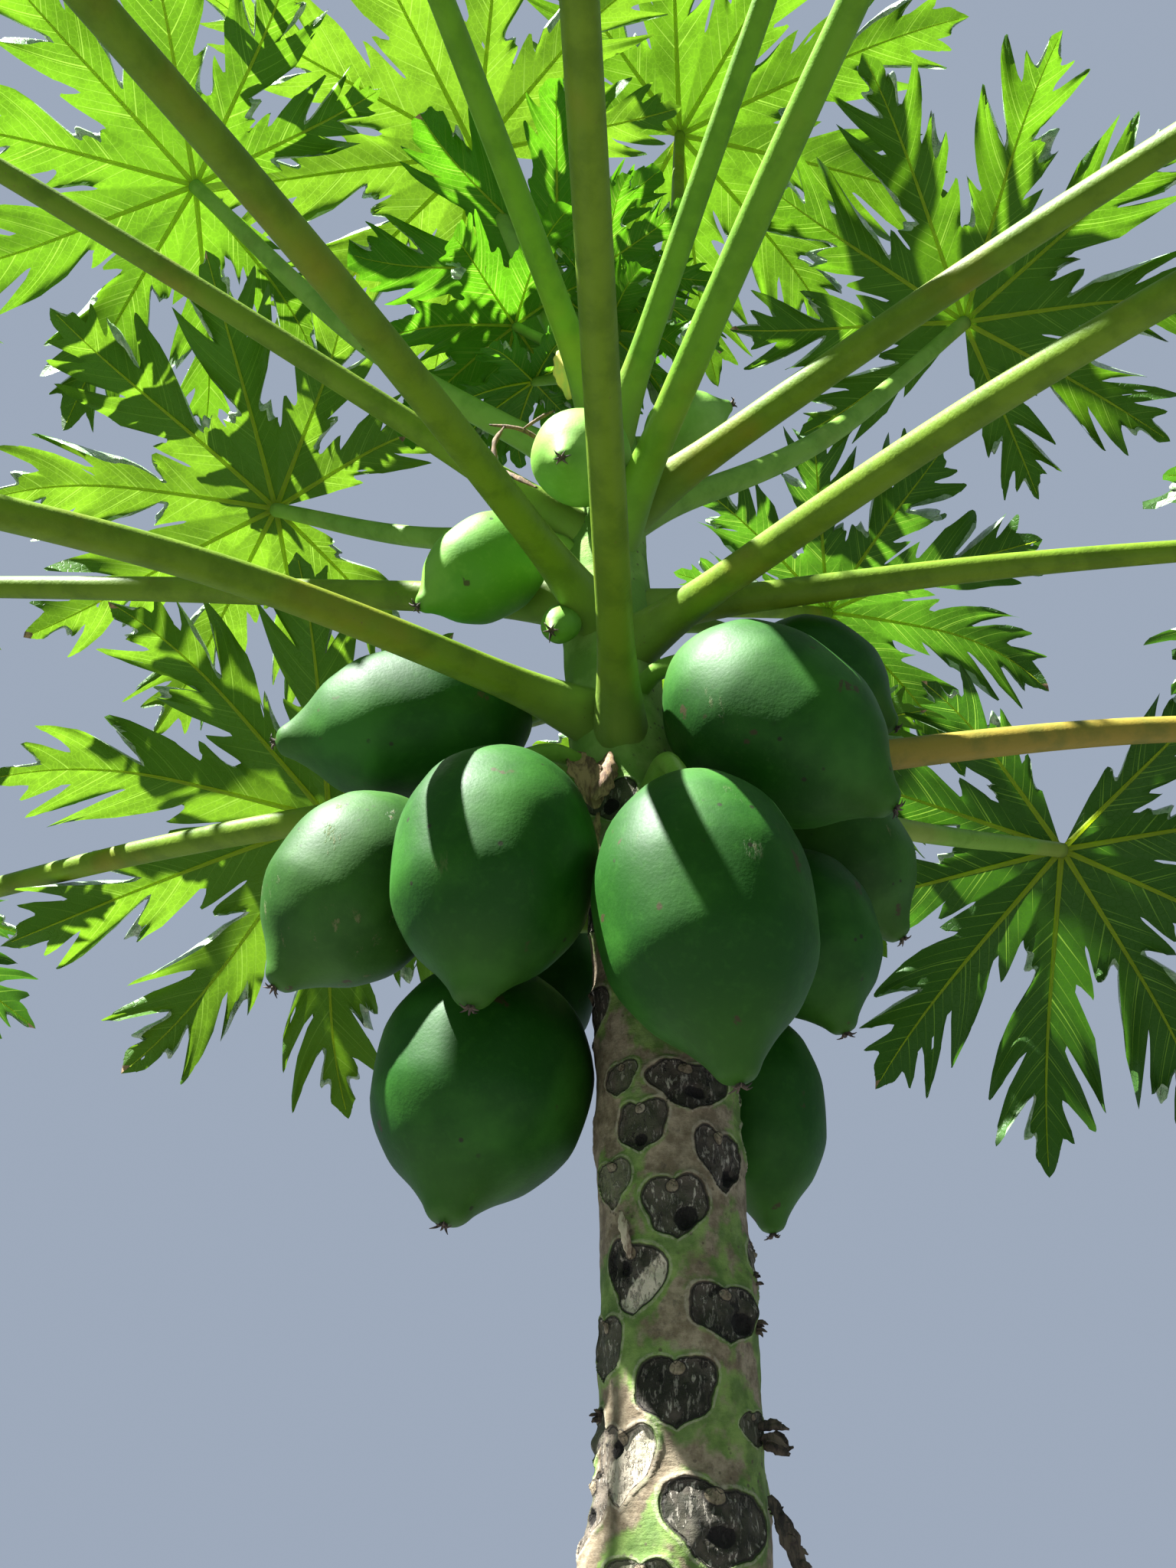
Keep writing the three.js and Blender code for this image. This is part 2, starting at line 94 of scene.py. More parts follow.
# Each leaf's name, foot height on the trunk, hub, how far its stalk's middle lies beside and over a straight
# line, its stoutness, and how its blade lies: heading from +X, pitch over level, roll, reach, lift, bend
LEAVES = [
    ("01", 1990, (-590, -540, 1850), (0, 25), 1, (226, -30, 0, 340, 8, 45)),
    ("02", 2087, (-385, -800, 2010), (0, 10), 1, (241, -25, -8, 340, 8, 45)),
    ("03", 1965, (-80, -860, 2110), (0, 0), 1, (268, -15, -6, 350, 8, 45)),
    ("04", 2171, (195, -710, 2310), (0, 5), 1, (282, -10, 8, 340, 8, 45)),
    ("05", 2209, (575, -605, 2240), (0, 10), 1, (316, -18, 14, 340, 8, 45)),
    ("06", 2060, (440, -685, 1960), (0, 15), 1, (303, -30, 0, 340, 8, 45)),
    ("07", 2107, (630, -22, 2186), (0, 5), 0.95, (340, 0, -10, 330, 8, 45)),
    ("08", 1936, (960, 158, 2070), (0, 36), 1, (25, -40, 0, 320, 8, 50)),
    ("09", 2124, (-905, 172, 2280), (0, 0), 1, (171, -15, 0, 340, 8, 45)),
    ("10", 1950, (-920, 448, 2007), (0, 15), 1, (155, -25, 0, 340, 8, 45)),
    ("11", 2323, (-250, -620, 2440), (0, 5), 0.9, (248, -5, 0, 320, 8, 40)),
    ("12", 2290, (165, -560, 2600), (0, 0), 0.85, (290, 5, 0, 310, 8, 40)),
    ("13", 2200, (-417, 259, 2446), (0, -20), 0.9, (193, -1, 39, 335, 10, 35)),
    ("14", 2270, (-496, 42, 2723), (0, -45), 0.9, (200, -1, 35, 345, 10, 35)),
    ("15", 2352, (-195, 110, 2863), (0, -20), 0.75, (206, 12, 30, 370, 10, 35)),
    ("16", 2330, (56, 197, 3013), (20, -50), 0.75, (338, 10, -30, 395, 10, 35)),
    ("17", 2215, (366, 153, 2630), (0, -45), 0.9, (283, 34, -19, 330, 10, 35)),
    ("18", 1975, (446, 364, 2064), (0, -20), 0.9, (96, -56, 21, 350, 5, 30)),
    ("19", 2035, (-339, 348, 2092), (0, 20), 0.9, (175, -20, 51, 360, 5, 30)),
    ("20", 2130, (254, 545, 2512), (0, 0), 0.9, (330, 5, -30, 315, 8, 35)),
    ("21", 2186, (-900, -385, 2533), (0, 10), 0.85, (203, -12, 0, 320, 8, 45)),
    ("22", 2050, (130, 640, 2330), (0, 10), 1, (78, -35, 0, 330, 8, 45)),
]
# The young leaves, of which the part's source has the first two, one a little smaller
YOUNG_LEAVES = [
    ("young_a", (-97, 122, 2683), (181, -1, 36, 245, 5, 25)),
    ("young_b", (-44, 29, 2584), (8, -5, -31, 120, 0, 20)),
    ("young_c", (-138, 40, 2505), (205, -20, 22, 185, 0, 25)),
    ("young_d", (-44, 60, 2521), (330, -30, -20, 140, 0, 20)),
    ("young_e", (-20, 110, 2650), (75, 10, 10, 150, 0, 20)),
    ("young_f", (-118, 66, 2452), (200, -25, 0, 130, 0, 20)),
]
# How stout the young stalks are, and the bud at the trunk's tip
YOUNG_STOUT = 0.55
BUD_FOOT = 2387
BUD_TOP = 2480
BUD_RADIUS = 12

# A fruit's outline from stalk end to tip: share of the length, share of the half width
FRUIT_PROFILE = np.array([
    (0, 0), (0.004, 0.13), (0.02, 0.27), (0.08, 0.54), (0.2, 0.84), (0.4, 1),
    (0.6, 0.95), (0.77, 0.7), (0.87, 0.4), (0.93, 0.25), (0.98, 0.15), (1, 0),
])

# Each fruit's name, stalk end, tip, width and the height at which its stalk leaves the trunk
FRUITS = [
    ("01", (8, -134, 1862), (36, -142, 1628), 155, 1900),
    ("02", (-121, -91, 1904), (-142, -117, 1692), 150, 1925),
    ("03", (-125, 30, 1775), (-163, -10, 1572), 165, 1810),
    ("04", (-110, 10, 2010), (-325, 0, 1975), 135, 2000),
    ("05", (-196, -12, 1902), (-298, -24, 1745), 138, 1925),
    ("06", (-105, -38, 2165), (-205, -55, 2075), 90, 2150),
    ("07", (12, -78, 2008), (168, -97, 1858), 148, 2000),
    ("08", (90, 50, 2115), (212, 60, 2027), 110, 2090),
    ("09", (116, 84, 1972), (205, 94, 1838), 122, 1935),
    ("10", (92, 25, 1882), (138, 28, 1728), 118, 1885),
    ("11", (66, 82, 1770), (80, 92, 1590), 108, 1830),
    ("12", (-105, 120, 1900), (-130, 150, 1720), 125, 1900),
    ("13", (-12, 116, 1720), (-14, 134, 1590), 82, 1765),
    ("14", (14, 112, 1900), (30, 158, 1735), 118, 1895),
]
# The young fruits, which the part's source joins to the trunk, the last of them a little larger
YOUNG_FRUITS = [
    ("young_1", (-52, -45, 2252), (-84, -130, 2172), 85, 2262),
    ("young_2", (-8, 0, 2306), (74, -24, 2334), 62, 2300),
    ("young_3", (-78, -38, 2076), (-92, -78, 2034), 32, 2080),
]
STALK_RADIUS = 8
STALK_ARCH = 0.6
# The dried star's least reach on a fruit that is wider than GROWN, and its reach on a young one
STIGMA = 4
GROWN = 100
YOUNG_STIGMA = 9
# How much a fruit's stalk widens at its ends, and its ridges
STALK_ENDS = 0.35
FRUIT_STALK_RIDGES = 0.03

# Fineness of the meshes: rows along and cells around or across
TRUNK_AROUND = 150
LOWER_TRUNK_ROWS = 380
UPPER_TRUNK_ROWS = 600
TRUNK_PARTING = 1300
PETIOLE_ROWS = 48
PETIOLE_AROUND = 20
FRUIT_ROWS = 56
FRUIT_AROUND = 50
BLADE_CELLS = 42
BLADE_ACROSS = 8
RIB_STEPS = 34
RIB_SIDES = 5

# How a blade's side veins and rows slant forward from the rib, which rows hold a vein, and half their widths
SLANT = radians(40)
WEB_VEINS = (2, 4, 6, 8)
FREE_VEINS = 4
VEIN_HALF = 0.6
LOBULE_VEIN_HALF = 1.5
RIB_RADIUS = 3.2
# A blade's reach and the depth of its webs beside those of its solid
WITHIN = 0.96
PARTING = 0.8
# How near to the edge of the solids' room a leaf's tips are eased back
EASE = 45
# A lobe's half width where no lobule is: share of its length, half width along the slant
LOBE_NECK = np.array([
    (0, 0.13), (0.3, 0.12), (0.5, 0.105), (0.66, 0.09), (0.8, 0.085), (0.9, 0.062), (0.97, 0.022), (1, 0),
])
# The lobules of a half lobe: where each starts and ends along the rib, and how far it reaches
LOBULES = [(0.19, 0.32, 0.27), (0.36, 0.545, 0.42), (0.585, 0.71, 0.31), (0.75, 0.825, 0.17)]
# Where a row starts to roll, as a share of its width, and from which turn its upper side shows
ROLL_FROM = 0.54
ROLLED_OVER = 1.15
# How far the margins turn in halves that roll slightly and in the others, how likely the slight ones are,
# and the leaves whose margins roll under most, with how much more they do
SLIGHT_ROLL = (0.2, 0.9)
STRONG_ROLL = (2.2, 4.6)
SLIGHT_SHARE = 0.3
CURLED = ("07", "09", "13", "14", "17", "19")
CURL = 1.35
# From which share of its length a lobe bends on its own, and how high its margins ripple
FREE_FROM = 0.46
RIPPLE = 0.05
# How many half lobes have a brown tip, where it starts, how many cells are holes, and beyond which share
BROWN_TIPS = 0.2
TIP_FROM = 0.955
HOLES = 0.0009
HOLES_FROM = 0.3
# How much fuller the lobes of young leaves are
YOUNG_FULL = 1.85


# Shader nodes

class Socket:
    """One output of a node; sums, differences and products of it add Math nodes."""

    def __init__(self, look, output):
        self.look = look
        self.output = output

    def __add__(self, other):
        return self.look.math("ADD", self, other)

    def __radd__(self, other):
        return self.look.math("ADD", other, self)

    def __sub__(self, other):
        return self.look.math("SUBTRACT", self, other)

    def __rsub__(self, other):
        return self.look.math("SUBTRACT", other, self)

    def __mul__(self, other):
        return self.look.math("MULTIPLY", self, other)

    def __rmul__(self, other):
        return self.look.math("MULTIPLY", other, self)


class Look:
    """A material's node tree, with one method that adds a node."""

    def __init__(self, name):
        self.material = bpy.data.materials.new(name)
        self.material.use_nodes = True
        self.tree = self.material.node_tree
        self.shader = self.tree.nodes["Principled BSDF"]
        self.place = self.node("ShaderNodeTexCoord", out="Object")

    def node(self, kind, settings=None, values=None, out=0):
        made = self.tree.nodes.new(kind)
        for name, value in (settings or {}).items():
            setattr(made, name, value)
        for name, value in (values or {}).items():
            self.feed(made.inputs[name], value)
        return Socket(self, made.outputs[out])

    def feed(self, socket, value):
        if isinstance(value, Socket):
            self.tree.links.new(value.output, socket)
        elif socket.type == "RGBA":
            socket.default_value = (*value, 1)
        else:
            socket.default_value = value

    def math(self, operation, first, second):
        return self.node("ShaderNodeMath", {"operation": operation}, {0: first, 1: second})

    def mix(self, first, second, factor):
        return self.node("ShaderNodeMix", {"data_type": "RGBA"}, {0: factor, 6: first, 7: second}, out=2)

    def step(self, value, low, high):
        """A smooth rise from 0 at low to 1 at high."""
        settings = {"interpolation_type": "SMOOTHSTEP"}
        return self.node("ShaderNodeMapRange", settings, {"Value": value, "From Min": low, "From Max": high})

    def line(self, value, middle, outer, inner):
        """A line along which a value comes near its middle: 1 within inner of it, 0 beyond outer."""
        return self.step(self.math("ABSOLUTE", value - middle, 0), outer, inner)

    def noise(self, scale, detail=4, rough=0.55, stretch=None):
        """Noise, with each of the object's axes scaled first by its own number of stretch."""
        place = self.place
        if stretch:
            place = self.node("ShaderNodeMapping", {}, {"Vector": place, "Scale": stretch})
        values = {"Vector": place, "Scale": scale, "Detail": detail, "Roughness": rough}
        return self.node("ShaderNodeTexNoise", {}, values)

    def dapple(self, low, high, *grain):
        """Soft-edged patches: noise of a scale, detail, roughness and stretch, stepped from low to high."""
        return self.step(self.noise(*grain), low, high)

    def cells(self, scale, feature="F1"):
        return self.node("ShaderNodeTexVoronoi", {"feature": feature}, {"Vector": self.place, "Scale": scale})

    def specks(self, scale, outer, inner, patches):
        """Round specks where there are patches."""
        return self.step(self.cells(scale), outer, inner) * patches

    def vein_net(self):
        return self.step(self.cells(150, "DISTANCE_TO_EDGE"), 0.09, 0.0)

    def attribute(self, name):
        return self.node("ShaderNodeAttribute", {"attribute_name": name}, out="Fac")

    def height(self):
        """The object's z, in metres."""
        return self.node("ShaderNodeSeparateXYZ", {}, {0: self.place}, out="Z")

    def let_through(self, colour, share):
        """Lets a share of the light through the surface, tinted."""
        through = self.node("ShaderNodeBsdfTranslucent", {}, {"Color": colour})
        surface = Socket(self, self.shader.outputs[0])
        mixed = self.node("ShaderNodeMixShader", {}, {0: share, 1: surface, 2: through})
        self.feed(self.tree.nodes["Material Output"].inputs["Surface"], mixed)

    def set(self, **values):
        """Feeds the shader's sockets, named with underscores for spaces, and gives the material."""
        for name, value in values.items():
            self.feed(self.shader.inputs[name.replace("_", " ")], value)
        return self.material

    def skin(self, colour, roughness, relief, distance, strength, specular=0.5):
        """Feeds the shader a colour, a roughness and a relief of the given depth in metres."""
        values = {"Height": relief, "Distance": distance, "Strength": strength}
        bump = self.node("ShaderNodeBump", {}, values, out="Normal")
        return self.set(Base_Color=colour, Roughness=roughness, Normal=bump, Specular_IOR_Level=specular)


# Materials

def bark_look():
    """Grey-brown bark with green patches; leaf scars fibrous, lined dark, in places hollow; painted
    highlights on their rims, painted shade in their cracks and hollows.
    """
    look = Look("pawpaw_bark")
    outline = look.attribute("outline") + (look.noise(90, 5) - 0.5) * 0.3 + (look.noise(38, 3) - 0.5) * 0.4
    dark = look.attribute("dark")
    fine = look.noise(240, 6, 0.7)
    cork = look.mix((0.135, 0.103, 0.062), (0.275, 0.225, 0.148), look.dapple(0.38, 0.64, 70, 6, 0.68))
    cork = look.mix(cork, (0.38, 0.35, 0.27), look.dapple(0.56, 0.7, 24) * fine)
    cork = look.mix(cork, (0.07, 0.055, 0.04), look.dapple(0.54, 0.66, 130, 7, 0.75) * 0.6)
    green = look.mix((0.065, 0.14, 0.018), (0.165, 0.27, 0.055), look.dapple(0.4, 0.62, 55, 5))
    patches = look.step(look.noise(12, 5, 0.6) + look.step(outline, 0.9, 0.3) * 0.05, 0.5, 0.56)
    skin = look.mix(cork, green, patches * 0.85)
    young = look.mix((0.12, 0.25, 0.035), (0.22, 0.36, 0.08), look.dapple(0.4, 0.66, 26, 5))
    skin = look.mix(skin, young, look.step(look.height() + look.noise(9) * 0.16, 1.86, 2.02))
    specks = look.specks(150, 0.24, 0.14, look.dapple(0.47, 0.58, 20))
    skin = look.mix(skin, (0.07, 0.055, 0.035), specks * 0.75)
    # A pale line along each scar's raised rim: a painted highlight.
    rim = look.line(outline, 0.22, 0.15, 0.04) * look.step(fine, 0.36, 0.56)
    skin = look.mix(skin, (0.42, 0.38, 0.29), rim * 0.4)
    fibres = look.dapple(0.52, 0.6, 330, 4, 0.7, (1, 1, 0.3))
    broad = look.dapple(0.4, 0.6, 48, 4, 0.65)
    wood = look.mix((0.15, 0.125, 0.095), (0.013, 0.01, 0.008), dark * (0.75 + broad * 0.4))
    wood = look.mix(wood, (0.42, 0.38, 0.31), fibres * (0.85 - broad * 0.6))
    bare = look.step(look.attribute("wood") + (fine - 0.5) * 0.3, -0.05, 0.05)
    wood = look.mix(wood, look.mix((0.5, 0.44, 0.34), (0.27, 0.22, 0.15), fibres * 0.4), bare)
    cracks = look.dapple(0.58, 0.64, 60, 5, 0.7, (1, 1, 0.6)) * dark
    hollow = look.step(look.attribute("hollow") + (look.noise(60, 4) - 0.5) * 0.8, 0.12, 0.2)
    scar = look.step(outline, 0.03, -0.03)
    skin = look.mix(skin, wood, scar * (0.7 + dark * 0.3))
    # Near black in the scars' cracks and hollows, over their dark wood: painted shade in these recesses.
    deep = look.math("MAXIMUM", cracks * (1 - bare), hollow)
    skin = look.mix(skin, (0.007, 0.005, 0.004), scar * deep * 0.94)
    line = look.line(outline, 0, 0.11, 0.03)
    skin = look.mix(skin, (0.016, 0.012, 0.009), line * (0.4 + dark * 0.5))
    bud = look.attribute("bud")
    skin = look.mix(skin, cork, look.step(bud, 0.28, 0.38))
    skin = look.mix(skin, (0.02, 0.016, 0.012), look.line(bud, 0.3, 0.1, 0.04) * 0.8)
    rings = look.noise(42, 6, 0.6, (1, 1, 4))
    relief = rings * 0.5 + fine * 0.4 + fibres * scar * 0.7 - cracks * scar - line * 0.9
    return look.skin(skin, 0.72 + fine * 0.2, relief, 0.0024, 0.9, 0.3)


def stalk_look(name, colour, deep, blush):
    """A leaf stalk: one green, deeper in long streaks, blushed in patches, paler at its foot."""
    look = Look(f"pawpaw_stalk_{name}")
    streaks = look.noise(30, 5, 0.6)
    skin = look.mix(colour, deep, look.step(streaks, 0.42, 0.64) * 0.8)
    skin = look.mix(skin, blush, look.dapple(0.52, 0.7, 7) * 0.55)
    skin = look.mix(skin, (0.2, 0.32, 0.07), look.step(look.attribute("share"), 0.16, 0.0) * 0.6)
    skin = look.mix(skin, (0.12, 0.08, 0.03), look.specks(190, 0.16, 0.08, look.dapple(0.55, 0.65, 24)) * 0.6)
    fine = look.noise(300)
    return look.skin(skin, 0.44 + fine * 0.14, fine + streaks, 0.0006, 0.6, 0.16)


def fruit_look(name, colour, pale, blotch):
    """A fruit's skin: green with paler clouds, a waxy bloom, dark specks and corky scratches."""
    look = Look(f"pawpaw_fruit_{name}")
    clouds = look.noise(11, 5)
    skin = look.mix(colour, pale, look.step(clouds, 0.42, 0.7))
    skin = look.mix(skin, pale, look.dapple(0.5, 0.75, 150, 3) * 0.25)
    share = look.attribute("share")
    ends = look.step(share, 0.75, 1.0) + look.step(share, 0.14, 0.0)
    skin = look.mix(skin, (0.07, 0.17, 0.02), ends * 0.3)
    specks = look.specks(62, 0.15, 0.08, look.dapple(0.55, 0.6, 16, 3))
    skin = look.mix(skin, (0.015, 0.017, 0.007), specks * 0.85)
    scabs = look.dapple(0.69, 0.72, 34, 2) * look.dapple(0.42, 0.5, 190)
    skin = look.mix(skin, (0.045, 0.032, 0.014), scabs * 0.85)
    scuffs = look.dapple(0.6, 0.68, 70, 7, 0.72, (1, 1, 0.35))
    scuffs = scuffs * look.dapple(0.56 - blotch, 0.68 - blotch, 8, 3)
    skin = look.mix(skin, (0.17, 0.16, 0.075), scuffs * 0.65)
    dimples = look.noise(420, 3, 0.5)
    relief = clouds * 0.5 + dimples * 0.12 + scuffs * 0.25 + look.noise(34, 3) * 0.3
    return look.skin(skin, 0.5 + dimples * 0.12 + scuffs * 0.15, relief, 0.0026, 0.5, 0.2)


def leaf_look(name, colour, glow):
    """A leaf blade: a fine net of veins over one green, letting light through."""
    look = Look(f"pawpaw_leaf_{name}")
    net = look.vein_net()
    clouds = look.dapple(0.38, 0.62, 17, 5, 0.6)
    lighter = tuple(min(1, part * 1.35 + 0.02) for part in colour)
    skin = look.mix(colour, lighter, clouds * 0.6 + net * 0.35)
    fine = look.noise(260)
    look.let_through(glow, 0.4 + net * 0.14 + clouds * 0.24)
    return look.skin(skin, 0.38 + fine * 0.18, fine * 0.4 - net, 0.0007, 0.5, 0.2)


def rolled_look():
    """The waxy upper side of a blade, where its margin has rolled under; its pale silver-green patches are a
    painted sheen of light off the wax.
    """
    look = Look("pawpaw_leaf_rolled")
    dull = look.dapple(0.4, 0.62, 60, 5)
    # Pale silver-green: painted sheen; the grey-green between is the upper side's own colour.
    skin = look.mix((0.36, 0.46, 0.3), (0.17, 0.29, 0.13), dull)
    return look.skin(skin, 0.26 + dull * 0.16, dull - look.vein_net(), 0.0012, 0.6)


def vein_look(name, colour, pale, glow, share):
    look = Look(name)
    tint = look.mix(colour, pale, look.noise(20))
    fine = look.noise(300, 3)
    look.let_through(glow, share + fine * 0.1)
    return look.skin(tint, 0.4 + fine * 0.15, fine, 0.0004, 0.5, 0.25)


def dry_look(name, colour, dark):
    """Dried husk or stub: brown, streaked along its length and cracked."""
    look = Look(name)
    fibres = look.noise(160, 6, 0.7, (1, 1, 0.3))
    tint = look.mix(colour, dark, look.step(fibres, 0.42, 0.62))
    return look.skin(tint, 0.75 + fibres * 0.2, fibres, 0.0015, 0.8)


# The greens that are dealt out among the leaves: the skin's colour and the light that comes through
LEAF_GREENS = [
    ((0.052, 0.15, 0.012), (0.06, 0.145, 0.004)),
    ((0.056, 0.16, 0.012), (0.068, 0.156, 0.005)),
    ((0.04, 0.115, 0.016), (0.027, 0.085, 0.004)),
    ((0.066, 0.18, 0.013), (0.085, 0.172, 0.007)),
    ((0.042, 0.125, 0.014), (0.042, 0.118, 0.005)),
]
# The number of the green of those leaves that aren't left to the deal: 3 is the palest and 2 the deepest
# These picks are painted light and shade: paler greens for leaves that should look sunlit, deeper greens for
# shaded ones.
GREEN_OF = {"07": 2, "09": 1, "12": 0, "13": 3, "14": 1, "15": 3, "16": 1, "17": 0, "18": 2, "19": 3, "20": 4}
# The young leaves' green: a pale skin that paints light on these leaves, which hang in the crown's shade.
YOUNG_GREEN = ((0.06, 0.2, 0.008), (0.055, 0.17, 0.004))
# A stalk's colour, its deeper streaks and its blush, and the leaves whose stalks aren't olive
STALK_COLOURS = {
    "olive": ((0.12, 0.2, 0.01), (0.078, 0.14, 0.006), (0.2, 0.17, 0.012)),
    "green": ((0.12, 0.26, 0.014), (0.085, 0.2, 0.01), (0.2, 0.27, 0.02)),
    "pale": ((0.17, 0.32, 0.045), (0.11, 0.24, 0.025), (0.24, 0.27, 0.06)),
    "amber": ((0.25, 0.19, 0.03), (0.15, 0.145, 0.025), (0.27, 0.12, 0.03)),
}
STALKS = {"pale": ("13", "14", "15", "17", "18"), "green": ("04", "11", "12"), "amber": ("08",)}
# A fruit's colour, its paler clouds and how much more it is scuffed, and the fruits that aren't deep green
FRUIT_COLOURS = {
    "deep": ((0.006, 0.053, 0.001), (0.024, 0.112, 0.008), 0.0),
    "scarred": ((0.012, 0.057, 0.003), (0.033, 0.11, 0.012), 0.16),
    "green": ((0.07, 0.22, 0.012), (0.15, 0.33, 0.035), 0.0),
    "young": ((0.12, 0.28, 0.03), (0.22, 0.4, 0.08), 0.0),
}
SKINS = {"scarred": ("05", "09"), "green": ("06",), "young": ("young_1", "young_2", "young_3")}

bark = bark_look()
leaf_greens = [leaf_look(i + 1, *pair) for i, pair in enumerate(LEAF_GREENS)]
young_green = leaf_look("young", *YOUNG_GREEN)
rib = vein_look("pawpaw_rib", (0.3, 0.42, 0.045), (0.4, 0.5, 0.09), (0.7, 0.8, 0.1), 0.74)
side_vein = vein_look("pawpaw_side_vein", (0.11, 0.25, 0.02), (0.15, 0.3, 0.03), (0.15, 0.26, 0.026), 0.5)
rolled = rolled_look()
stalk_looks = {name: stalk_look(name, *colours) for name, colours in STALK_COLOURS.items()}
fruit_looks = {name: fruit_look(name, *colours) for name, colours in FRUIT_COLOURS.items()}
husk = dry_look("pawpaw_husk", (0.34, 0.22, 0.11), (0.12, 0.07, 0.04))
torn_wood = dry_look("pawpaw_torn_wood", (0.5, 0.42, 0.3), (0.16, 0.11, 0.07))
twig = dry_look("pawpaw_twig", (0.17, 0.1, 0.04), (0.06, 0.035, 0.018))
char = dry_look("pawpaw_dried_tip", (0.09, 0.065, 0.045), (0.02, 0.015, 0.012))
fresh_bract = dry_look("pawpaw_fresh_bract", (0.62, 0.52, 0.1), (0.45, 0.5, 0.1))


# Curves and tubes

def unit(vectors):
    return vectors / np.linalg.norm(vectors, axis=-1, keepdims=True)


def catmull(points, shares):
    """Points at shares of the length of a centripetal Catmull-Rom line, and its directions there."""
    knots = np.array(points, float)
    knots = np.vstack([2 * knots[0] - knots[1], knots, 2 * knots[-1] - knots[-2]])
    fine = []
    for p0, p1, p2, p3 in zip(knots, knots[1:], knots[2:], knots[3:]):
        d0, d1, d2 = (sqrt(np.linalg.norm(b - a)) for a, b in ((p0, p1), (p1, p2), (p2, p3)))
        first = ((p1 - p0) / d0 - (p2 - p0) / (d0 + d1) + (p2 - p1) / d1) * d1
        last = ((p2 - p1) / d1 - (p3 - p1) / (d1 + d2) + (p3 - p2) / d2) * d1
        t = np.linspace(0, 1, 120)[:, None]
        cubic = 2 * p1 - 2 * p2 + first + last
        fine.append(p1 + first * t + (3 * p2 - 3 * p1 - 2 * first - last) * t ** 2 + cubic * t ** 3)
    line = np.vstack([fine[0]] + [part[1:] for part in fine[1:]])
    length = np.concatenate([[0], np.cumsum(np.linalg.norm(np.diff(line, axis=0), axis=1))])
    along = length / length[-1]
    place = np.stack([np.interp(shares, along, line[:, axis]) for axis in range(3)], axis=-1)
    slope = unit(np.gradient(line, length, axis=0))
    return place, unit(np.stack([np.interp(shares, along, slope[:, axis]) for axis in range(3)], axis=-1))


def add_wrapped(mesh, rows, around, shape):
    """Adds a closed form: a grid whose corners go where shape(share, turn) says, welded, its ends filled."""
    corners = bmesh.ops.create_grid(mesh, x_segments=rows, y_segments=around, size=0.5)["verts"]
    flat = np.array([corner.co for corner in corners])
    places, layers = shape(flat[:, 0] + 0.5, (flat[:, 1] + 0.5) * 2 * pi)
    for corner, place in zip(corners, places * MM):
        corner.co = place
    for name, values in layers.items():
        layer = mesh.verts.layers.float.get(name) or mesh.verts.layers.float.new(name)
        corners = list(mesh.verts)[-len(flat):]
        for corner, value in zip(corners, values):
            corner[layer] = value
    bmesh.ops.remove_doubles(mesh, verts=corners, dist=1e-6)
    bmesh.ops.holes_fill(mesh, edges=[edge for edge in mesh.edges if edge.is_boundary], sides=0)


def tube_shape(points, radius_at, ridges=0.0, foot=0.0):
    """A shape for add_wrapped: a tube along a line, with a radius at each share, ridges and a wider foot."""
    start = np.array(points[1], float) - np.array(points[0], float)
    reference = (0, 1, 0) if abs(unit(start)[2]) > UPRIGHT else (0, 0, 1)

    def shape(share, turn):
        place, along = catmull(points, share)
        side = unit(np.cross(reference, along))
        over = np.cross(along, side)
        radius = radius_at(share) * (1 + ridges * np.cos(5 * turn))
        offset = over * np.cos(turn)[:, None] + side * np.sin(turn)[:, None]
        steep = 0.42 + 0.4 * np.clip(-offset[:, 2], 0, 1) ** 3
        clasp = foot * np.exp(-((share / 0.085) ** 2)) * steep
        return place + offset * (radius * (1 + clasp))[:, None], {"share": share}

    return shape


def linked(name, data):
    made = bpy.data.objects.new(name, data)
    bpy.context.scene.collection.objects.link(made)
    return made


def piece_of(name, mesh, looks, stands_for=()):
    """Makes a smooth piece of a bmesh, riding on the tree."""
    for face in mesh.faces:
        face.smooth = True
    data = bpy.data.meshes.new(name)
    mesh.to_mesh(data)
    mesh.free()
    for look in looks:
        data.materials.append(look)
    piece = linked(name, data)
    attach(piece, "root")
    if stands_for:
        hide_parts(*stands_for)


def closed_piece(name, mesh, look, stands_for=()):
    """Makes a piece of closed forms, with their normals outwards."""
    bmesh.ops.recalc_face_normals(mesh, faces=mesh.faces)
    piece_of(name, mesh, [look], stands_for)


def kind_of(name, kinds, usual):
    """Which kind a name is listed under, or the usual one."""
    for kind, names in kinds.items():
        if name in names:
            return kind
    return usual


def tube_piece(name, points, radius_at, look, stands_for, rows=24, around=12, ridges=0.0, foot=0.0):
    mesh = bmesh.new()
    add_wrapped(mesh, rows, around, tube_shape(points, radius_at, ridges, foot))
    closed_piece(name, mesh, look, [stands_for])


# Trunk

def trunk_at(height):
    """The trunk's centre line in x and its radius at a height."""
    return np.interp(height, TRUNK[:, 0], TRUNK[:, 1]), np.interp(height, TRUNK[:, 0], TRUNK[:, 2])


def foot_inside(height, target):
    """A point under the trunk's bark at a height, on the side that faces a target."""
    middle, radius = trunk_at(height)
    middle = np.array((middle, 0, height))
    return middle + unit((target - middle) * (1, 1, 0)) * radius * BURIED


